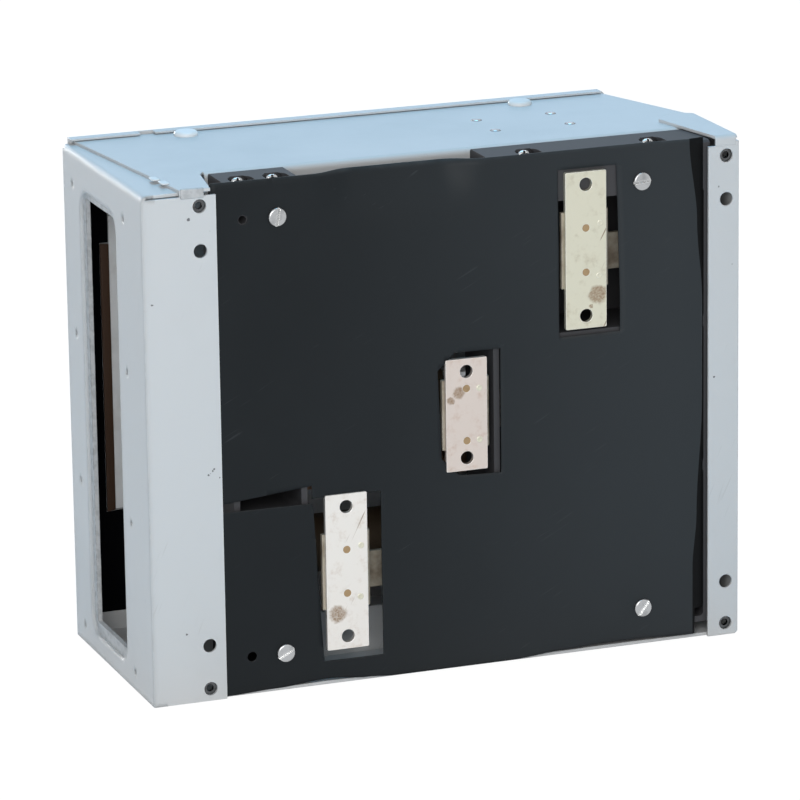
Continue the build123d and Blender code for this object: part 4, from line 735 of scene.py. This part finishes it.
class SWITCH_OT_rear_sheet(bpy.types.Operator):
    """Lays the waved black sheet over the bases, with its cut-outs, slit and flap"""

    bl_idname = "switch.rear_sheet"
    bl_label = "Insulating sheet"

    def execute(self, context):
        sizes = context.scene.switch_sizes
        low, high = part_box("rear_barrier")
        bm = self.flat_sheet(low, high)
        for vert in bm.verts:
            vert.co = self.place(vert.co, low, high, sizes)
        for face in bm.faces:
            if all(v.co.x < between(CREASE_LINE, v.co.z / MM) * MM + CREASE_MARGIN for v in face.verts):
                face.material_index = 1
        piece = finish_piece(bm, "insulating_sheet", "case", "sheet_black")
        piece.data.materials.append(bpy.data.materials["sheet_shade"])
        wall = piece.modifiers.new("Thickness", "SOLIDIFY")
        wall.thickness = sizes.sheet_thickness
        wall.offset = -1.0 if piece.data.polygons[0].normal.y > 0 else 1.0
        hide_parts("rear_barrier")
        return {"FINISHED"}

    def flat_sheet(self, low, high):
        """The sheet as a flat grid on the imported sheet's rear face, cut out and split at the crease."""
        bm = bmesh.new()
        grid = bmesh.ops.create_grid(bm, x_segments=SHEET_CELLS, y_segments=SHEET_CELLS, size=0.5)["verts"]
        bmesh.ops.transform(bm, matrix=Matrix.Rotation(-math.pi / 2, 4, "X"), verts=grid)
        bmesh.ops.scale(bm, vec=(high.x - low.x, 1.0, high.z - low.z), verts=grid)
        middle = Vector(((low.x + high.x) / 2, high.y, (low.z + high.z) / 2))
        bmesh.ops.translate(bm, vec=middle, verts=grid)
        for outline in CUT_OUTS:
            cut_out(bm, outline)
        turns = [math.radians(turn) for turn in range(0, 360, HOLE_TURN)]
        for x, z in SCREW_HOLES:
            cut_out(bm, [(x + HOLE_RADIUS * math.cos(t), z + HOLE_RADIUS * math.sin(t)) for t in turns])
        bmesh.ops.bisect_plane(bm, geom=bm.verts[:] + bm.edges[:] + bm.faces[:], dist=MERGE_DISTANCE,
                               plane_co=(CREASE_X * MM, 0, 0), plane_no=(1, 0, 0))
        return bm

    def place(self, co, low, high, sizes):
        """Where a point of the flat sheet goes: waved, creased, leaning in at the top, uneven below."""
        x, z = co.x / MM, co.z / MM
        left, bottom = low.x / MM, low.z / MM
        crease = between(((CREASE_X, 1.0), (CREASE_X + CREASE_WIDTH, 0.0)), x)
        out = self.wave(x, z) * sizes.sheet_bulge * (1 - crease) + sizes.crease_rise * crease
        out *= min(max((x - left) / (CREASE_X - left), 0.0), 1.0)
        lean = between(LEAN_ACROSS, x) * between(LEAN_UPWARD, z) ** 2
        y = high.y + out - lean * sizes.sheet_lean
        if x < SHIFT_END:
            x = self.shifted(x, left, between(CREASE_LINE, z))
        if z < UNEVEN_BELOW:
            share = (UNEVEN_BELOW - between(BOTTOM_EDGE, x)) / (UNEVEN_BELOW - bottom)
            z = UNEVEN_BELOW + (z - UNEVEN_BELOW) * share
        if FLAP_Z[0] < z < FLAP_Z[1] and x > FLAP_X:
            y += between(FLAP_RISE, z) * between(FLAP_FADE, x) * MM
        return Vector((x * MM, y, z * MM))

    def wave(self, x, z):
        """How much of the full bulge the sheet stands out at a place, nothing where it is held."""
        broad, small = (noise.noise(Vector((x * along, row, z * up))) for along, row, up in WAVES)
        nearest = min(math.hypot(x - held_x, z - held_z) for held_x in HELD_X for held_z in HELD_Z)
        swell = min(max(0.5 + 0.5 * broad + 0.2 * small, 0.0), WAVE_LIMIT)
        return swell * min(nearest / HOLD_REACH, 1.0)

    def shifted(self, x, left, line):
        """Slides a place along X so that the crease comes to its line and both ends stay."""
        if x < CREASE_X:
            return left + (x - left) * (line - left) / (CREASE_X - left)
        return line + (x - CREASE_X) * (SHIFT_END - line) / (SHIFT_END - CREASE_X)


# Cable window

# Outlines of the frame's opening as (y, z), and of the flat sheets behind it as (x, z)
FRAME_OPENING = ((-41.5, 21.0), (33.0, 21.0), (33.0, 304.0), (-41.5, 304.0))
FRAME_CORNER = 1.6
# What runs further than this along X is a corner's edge, in metres
CORNER_RUN = 1e-4
# The black liner is partly a dark liner and partly painted shade of the unlit inside of the case
LINER = ((164.8, 8.0), (196.0, 8.0), (196.0, 326.0), (164.8, 326.0), (164.8, 282.6), (173.2, 282.6),
         (173.2, 264.0), (179.2, 264.0), (179.2, 82.2), (164.8, 83.6))
BOARD = ((173.2, 83.5), (178.9, 82.6), (179.0, 263.5), (173.0, 263.0))
CARD = ((164.8, 84.5), (172.9, 84.0), (172.6, 281.5), (164.8, 282.0))
# Name, outline, thickness, material and slot of each flat sheet
WINDOW_SHEETS = (
    ("cover_liner", LINER, 0.8, "liner_black_painted_shade", "black_sheet"),
    ("fibre_board", BOARD, 1.6, "board_brown", "fibre"),
    ("blank_card", CARD, 0.5, "card_white", "sheet_paint"),
)
# From the front of the cover to the front of the flat sheets behind it
BEHIND_COVER = 4.1
# The rounding of a flat sheet's edges as a share of its thickness
SHEET_EASE = 0.3


class SWITCH_OT_window_frame(bpy.types.Operator):
    """Remakes the window's frame, with an opening that runs under the end plate's rear edge"""

    bl_idname = "switch.window_frame"
    bl_label = "Window frame"

    def execute(self, context):
        low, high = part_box("window_frame")
        bm = bmesh.new()
        outer = [(low.y, low.z), (high.y, low.z), (high.y, high.z), (low.y, high.z)]
        inner = [(y * MM, z * MM) for y, z in FRAME_OPENING]
        rims = []
        for ring in (outer, inner):
            verts = [bm.verts.new((high.x, y, z)) for y, z in ring]
            rims += [bm.edges.new((verts[i - 1], verts[i])) for i in range(4)]
        bmesh.ops.bridge_loops(bm, edges=rims)
        push_out(bm, bm.faces[:], (low.x - high.x, 0, 0))
        corners = [e for e in bm.edges if abs(e.verts[0].co.x - e.verts[1].co.x) > CORNER_RUN]
        round_edges(bm, corners, FRAME_CORNER, 3)
        frame_piece = finish_piece(bm, "recessed_frame", "case", "window_frame_enamel")
        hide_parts("window_frame")
        return {"FINISHED"}


class SWITCH_OT_window_sheets(bpy.types.Operator):
    """Adds the black liner, partly painted shade of the unlit inside, brown board and plain white card
    behind the cable window
    """

    bl_idname = "switch.window_sheets"
    bl_label = "Window sheets"

    def execute(self, context):
        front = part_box("front_cover")[0].y / MM + BEHIND_COVER
        for name, outline, depth, material, slot in WINDOW_SHEETS:
            bm = bmesh.new()
            add_plate(bm, [(x, front, z) for x, z in outline], depth, depth * SHEET_EASE)
            finish_piece(bm, name, "case", material)
        return {"FINISHED"}


# Trim

# Middles of the two seam clips as (x, y), and a clip's outline round its middle
SEAM_CLIPS = ((180.9, 47.0), (178.9, 60.0))
CLIP_OUTLINE = ((-2.4, -4.2), (1.6, -4.8), (2.4, -3.6), (2.6, 3.6), (1.8, 4.6), (-2.2, 4.8), (-2.8, 3.8))
CLIP_LIFT, CLIP_THICKNESS, CLIP_EASE = 0.05, 0.9, 0.25
# Corners of the ear's fold, their heights taken from the roof
EAR_FOLD = ((160.5, 81.9, -5.6), (175.6, 84.4, 0.9))
EAR_EASE = 0.7
# Steps in the noise for each millimetre, and how far it moves a point
EAR_GRAIN = (0.45, 0.5, 0.5)
EAR_ROUGH = (0.0, 0.7, 0.6)
# The side laps as (bottom, top, front), and what they share
SIDE_LAPS = ((4.0, 256.0, -70.0), (274.0, 328.5, 6.0))
LAP_REAR, LAP_OUT, LAP_GAP, LAP_EASE = 71.0, 1.7, 0.05, 0.4
# Profiles as (radius, height), and the roof rivets' middles from the edges of their box
HEAD_PROFILE = ((0.0, 0.75), (1.3, 0.68), (2.3, 0.36), (2.75, 0.06), (2.75, 0.02))
# A thin near-black ring round each head paints the shade of a pressed groove
SHADE_RING_PROFILE = ((2.7, 0.02), (2.9, 0.16), (3.5, 0.14), (3.7, 0.02))
RIVET_INSET = 2.4
PIP_PROFILE = ((0.0, 0.18), (0.9, 0.16), (1.3, 0.34), (1.8, 0.30), (2.1, 0.04), (2.1, 0.02))
PIPS = ((-104.8, 286.0), (-103.9, 251.6), (-21.0, 186.0), (-21.0, 152.0), (60.6, 91.0), (61.5, 57.0))


def roof_height():
    """The height of the case's roof in millimetres."""
    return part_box("top_panel")[1].z / MM


class SWITCH_OT_seam_clips(bpy.types.Operator):
    """Adds two light clips across the seam between the roof and the end plate"""

    bl_idname = "switch.seam_clips"
    bl_label = "Seam clips"

    def execute(self, context):
        height = roof_height() + CLIP_LIFT
        bm = bmesh.new()
        for x, y in SEAM_CLIPS:
            outline = [(x + dx, y + dy, height) for dx, dy in CLIP_OUTLINE]
            add_plate(bm, outline, CLIP_THICKNESS, CLIP_EASE, upright=False)
        finish_piece(bm, "seam_clips", "case", "white_caps")
        return {"FINISHED"}


class SWITCH_OT_ear_fold(bpy.types.Operator):
    """Folds the roof ear's rough end, thick with paint, over the rear flange"""

    bl_idname = "switch.ear_fold"
    bl_label = "Ear fold"

    def execute(self, context):
        roof = roof_height()
        low, high = [(x, y, roof + rise) for x, y, rise in EAR_FOLD]
        bm = bmesh.new()
        add_block(bm, low, high, EAR_EASE)
        bmesh.ops.subdivide_edges(bm, edges=bm.edges[:], cuts=3, use_grid_fill=True)
        for vert in bm.verts:
            rough = noise.noise(Vector([along * step for along, step in zip(vert.co / MM, EAR_GRAIN)]))
            vert.co += Vector(EAR_ROUGH) * rough * MM
        finish_piece(bm, "ear_fold", "case", "window_frame_enamel")
        return {"FINISHED"}


class SWITCH_OT_side_lap(bpy.types.Operator):
    """Laps a second sheet over the outside of the handle-side end plate, with a gap in it"""

    bl_idname = "switch.side_lap"
    bl_label = "Side lap"

    def execute(self, context):
        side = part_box("handle_end_plate")[0].x / MM
        bm = bmesh.new()
        for bottom, top, front in SIDE_LAPS:
            add_block(bm, (side - LAP_OUT, front, bottom), (side - LAP_GAP, LAP_REAR, top), LAP_EASE)
        finish_piece(bm, "side_lap", "case", "enamel")
        return {"FINISHED"}


class SWITCH_OT_roof_rivets(bpy.types.Operator):
    """Adds low bright heads on the four roof rivets, each in a dark ring of painted shade for a pressed
    groove
    """

    bl_idname = "switch.roof_rivets"
    bl_label = "Roof rivets"

    def execute(self, context):
        roof = roof_height()
        low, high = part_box("roof_rivets")
        heads, shade_rings = bmesh.new(), bmesh.new()
        for x in (low.x / MM + RIVET_INSET, high.x / MM - RIVET_INSET):
            for y in (low.y / MM + RIVET_INSET, high.y / MM - RIVET_INSET):
                add_turned(heads, HEAD_PROFILE, (x, y, roof))
                add_turned(shade_rings, SHADE_RING_PROFILE, (x, y, roof))
        finish_piece(heads, "roof_rivet_heads", "case", "zinc")
        finish_piece(shade_rings, "roof_rivet_shade_rings", "case", "nut_zinc_painted_shade")
        return {"FINISHED"}


class SWITCH_OT_strap_pips(bpy.types.Operator):
    """Adds small pips pressed up beside the rivets of each strap"""

    bl_idname = "switch.strap_pips"
    bl_label = "Strap pips"

    def execute(self, context):
        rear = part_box("bus_strap_b")[1].y / MM
        bm = bmesh.new()
        for x, z in PIPS:
            add_turned(bm, PIP_PROFILE, (x, rear, z), rearward=True)
        finish_piece(bm, "strap_pips", "case", "strap_plate_c")
        return {"FINISHED"}


# Stage

# Name, place, target, size in metres, power in watts and colour of each lamp
LAMPS = (
    ("key", (0.8, 1.9, 0.95), (0.05, 0.0, 0.16), 1.3, 26.0, (1.0, 0.985, 0.96)),
    ("fill", (-2.2, 2.0, 0.7), (0.0, 0.0, 0.15), 1.6, 0.8, (0.98, 0.98, 1.0)),
    ("front", (0.55, -2.6, 0.42), (0.0, 0.0, 0.15), 0.8, 27.0, (1.0, 0.98, 0.96)),
    ("back", (-0.7, -2.8, 1.05), (0.0, 0.0, 0.33), 2.2, 5.0, (0.16, 0.48, 1.0)),
    ("top", (-0.2, -0.5, 2.6), (0.0, 0.0, 0.33), 1.4, 34.0, (0.18, 0.64, 1.0)),
)
WORLD_COLOUR, WORLD_STRENGTH = (0.88, 0.90, 0.93, 1.0), 0.30
BACKDROP_COLOUR, BACKDROP_STRENGTH = (1.0, 1.0, 1.0, 1.0), 1.05
FLOOR_COLOUR, FLOOR_ROUGHNESS = (0.86, 0.87, 0.88, 1.0), 0.8
FLOOR_SIZE, FLOOR_GAP = 6.0, 0.0002
# How bright the floor glows to the camera, and how much of what is seen is that glow
FLOOR_GLOW, FLOOR_GLOW_SHARE = 1.06, 0.92
# The photograph's viewing angle in degrees, its lens in millimetres, its target and its distance
CAMERA_YAW, CAMERA_RISE, CAMERA_ROLL = 159.83, 15.235, -0.814
CAMERA_LENS, CAMERA_SENSOR, CAMERA_CLIP_END = 239.1, 36.0, 50.0
CAMERA_TARGET, CAMERA_DISTANCE = (0.00266, 0.00078, 0.1599), 3.457


def background_mix(tree, object_shade, white):
    """Shows the white shade to the camera and to mirror and see-through rays, else the other."""
    path = tree.nodes.new("ShaderNodeLightPath")
    seen = maths(tree, "MAXIMUM", path.outputs["Is Camera Ray"], path.outputs["Is Transmission Ray"])
    seen = maths(tree, "MAXIMUM", seen, path.outputs["Is Glossy Ray"])
    mix = tree.nodes.new("ShaderNodeMixShader")
    tree.links.new(seen, mix.inputs["Fac"])
    tree.links.new(object_shade, mix.inputs[1])
    tree.links.new(white, mix.inputs[2])
    return mix.outputs[0]


class SWITCH_OT_stage(bpy.types.Operator):
    """Sets the floor, the world, the lamps and the camera"""

    bl_idname = "switch.stage"
    bl_label = "Stage"

    def execute(self, context):
        scene = context.scene
        scene.view_settings.view_transform = "Standard"
        self.world(scene)
        self.floor(scene)
        for settings in LAMPS:
            self.lamp(scene, *settings)
        self.camera(scene)
        return {"FINISHED"}

    def world(self, scene):
        """A white background that lights softly."""
        world = bpy.data.worlds.new("soft_white")
        scene.world = world
        world.use_nodes = True
        tree = world.node_tree
        soft = tree.nodes["Background"]
        soft.inputs["Color"].default_value = WORLD_COLOUR
        soft.inputs["Strength"].default_value = WORLD_STRENGTH
        white = tree.nodes.new("ShaderNodeBackground")
        white.inputs["Color"].default_value = BACKDROP_COLOUR
        white.inputs["Strength"].default_value = BACKDROP_STRENGTH
        tree.links.new(background_mix(tree, soft.outputs[0], white.outputs[0]),
                       tree.nodes["World Output"].inputs["Surface"])

    def floor(self, scene):
        """A plain pale floor that keeps the object's shadow."""
        bm = bmesh.new()
        bmesh.ops.create_grid(bm, x_segments=1, y_segments=1, size=FLOOR_SIZE)
        bmesh.ops.translate(bm, vec=(0, 0, cad_box[0][2] - FLOOR_GAP), verts=bm.verts)
        mesh = bpy.data.meshes.new("floor")
        bm.to_mesh(mesh)
        bm.free()
        floor = bpy.data.objects.new("floor", mesh)
        scene.collection.objects.link(floor)
        mesh.materials.append(self.floor_material())

    def floor_material(self):
        """Pale matt paint that glows to the camera, so that it fades into the background."""
        material = bpy.data.materials.new("pale_floor")
        material.use_nodes = True
        tree = material.node_tree
        shader = tree.nodes["Principled BSDF"]
        shader.inputs["Base Color"].default_value = FLOOR_COLOUR
        shader.inputs["Roughness"].default_value = FLOOR_ROUGHNESS
        white = tree.nodes.new("ShaderNodeEmission")
        white.inputs["Strength"].default_value = FLOOR_GLOW
        mix = tree.nodes.new("ShaderNodeMixShader")
        mix.inputs["Fac"].default_value = FLOOR_GLOW_SHARE
        tree.links.new(shader.outputs[0], mix.inputs[1])
        tree.links.new(white.outputs[0], mix.inputs[2])
        tree.links.new(background_mix(tree, shader.outputs[0], mix.outputs[0]),
                       tree.nodes["Material Output"].inputs["Surface"])
        return material

    def lamp(self, scene, name, place, target, size, power, colour):
        """Adds a square area lamp aimed at a point."""
        data = bpy.data.lights.new(name, "AREA")
        data.size = size
        data.energy = power
        data.color = colour
        light = bpy.data.objects.new(name, data)
        light.location = place
        light.rotation_euler = (Vector(place) - Vector(target)).to_track_quat("Z", "Y").to_euler()
        scene.collection.objects.link(light)

    def camera(self, scene):
        """The photograph's viewing angle, from behind and a little above."""
        yaw, rise, roll = (math.radians(turn) for turn in (CAMERA_YAW, CAMERA_RISE, CAMERA_ROLL))
        outward = Vector((math.sin(yaw) * math.cos(rise), -math.cos(yaw) * math.cos(rise), math.sin(rise)))
        data = bpy.data.cameras.new("camera")
        data.sensor_width = CAMERA_SENSOR
        data.lens = CAMERA_LENS
        data.clip_end = CAMERA_CLIP_END
        camera = bpy.data.objects.new("camera", data)
        turn = outward.to_track_quat("Z", "Y").to_matrix() @ Matrix.Rotation(roll, 3, "Z")
        place = Vector(CAMERA_TARGET) + outward * CAMERA_DISTANCE
        camera.matrix_world = Matrix.Translation(place) @ turn.to_4x4()
        scene.collection.objects.link(camera)
        scene.camera = camera


# Panel and registration


class SWITCH_PT_panel(bpy.types.Panel):
    """Lists the pieces, their sizes and their colours"""

    bl_label = "Disconnect switch"
    bl_idname = "SWITCH_PT_panel"
    bl_space_type = "VIEW_3D"
    bl_region_type = "UI"
    bl_category = "Switch"

    def draw(self, context):
        for group in (context.scene.switch_sizes, context.scene.switch_colours):
            for name in group.bl_rna.properties.keys():
                if name not in ("rna_type", "name"):
                    self.layout.prop(group, name)
        for operator in OPERATORS:
            self.layout.operator(operator.bl_idname)


OPERATORS = (SWITCH_OT_finishes, SWITCH_OT_rear_sheet, SWITCH_OT_window_frame, SWITCH_OT_window_sheets,
             SWITCH_OT_seam_clips, SWITCH_OT_ear_fold, SWITCH_OT_side_lap, SWITCH_OT_roof_rivets,
             SWITCH_OT_strap_pips, SWITCH_OT_stage)
CLASSES = (SwitchSizes, SwitchColours) + OPERATORS + (SWITCH_PT_panel,)


def register():
    for each in CLASSES:
        bpy.utils.register_class(each)
    bpy.types.Scene.switch_sizes = bpy.props.PointerProperty(type=SwitchSizes)
    bpy.types.Scene.switch_colours = bpy.props.PointerProperty(type=SwitchColours)


def unregister():
    del bpy.types.Scene.switch_colours
    del bpy.types.Scene.switch_sizes
    for each in reversed(CLASSES):
        bpy.utils.unregister_class(each)


def main():
    register()
    bpy.ops.switch.finishes()
    bpy.ops.switch.rear_sheet()
    bpy.ops.switch.window_frame()
    bpy.ops.switch.window_sheets()
    bpy.ops.switch.seam_clips()
    bpy.ops.switch.ear_fold()
    bpy.ops.switch.side_lap()
    bpy.ops.switch.roof_rivets()
    bpy.ops.switch.strap_pips()
    bpy.ops.switch.stage()


if __name__ == "__main__":
    main()
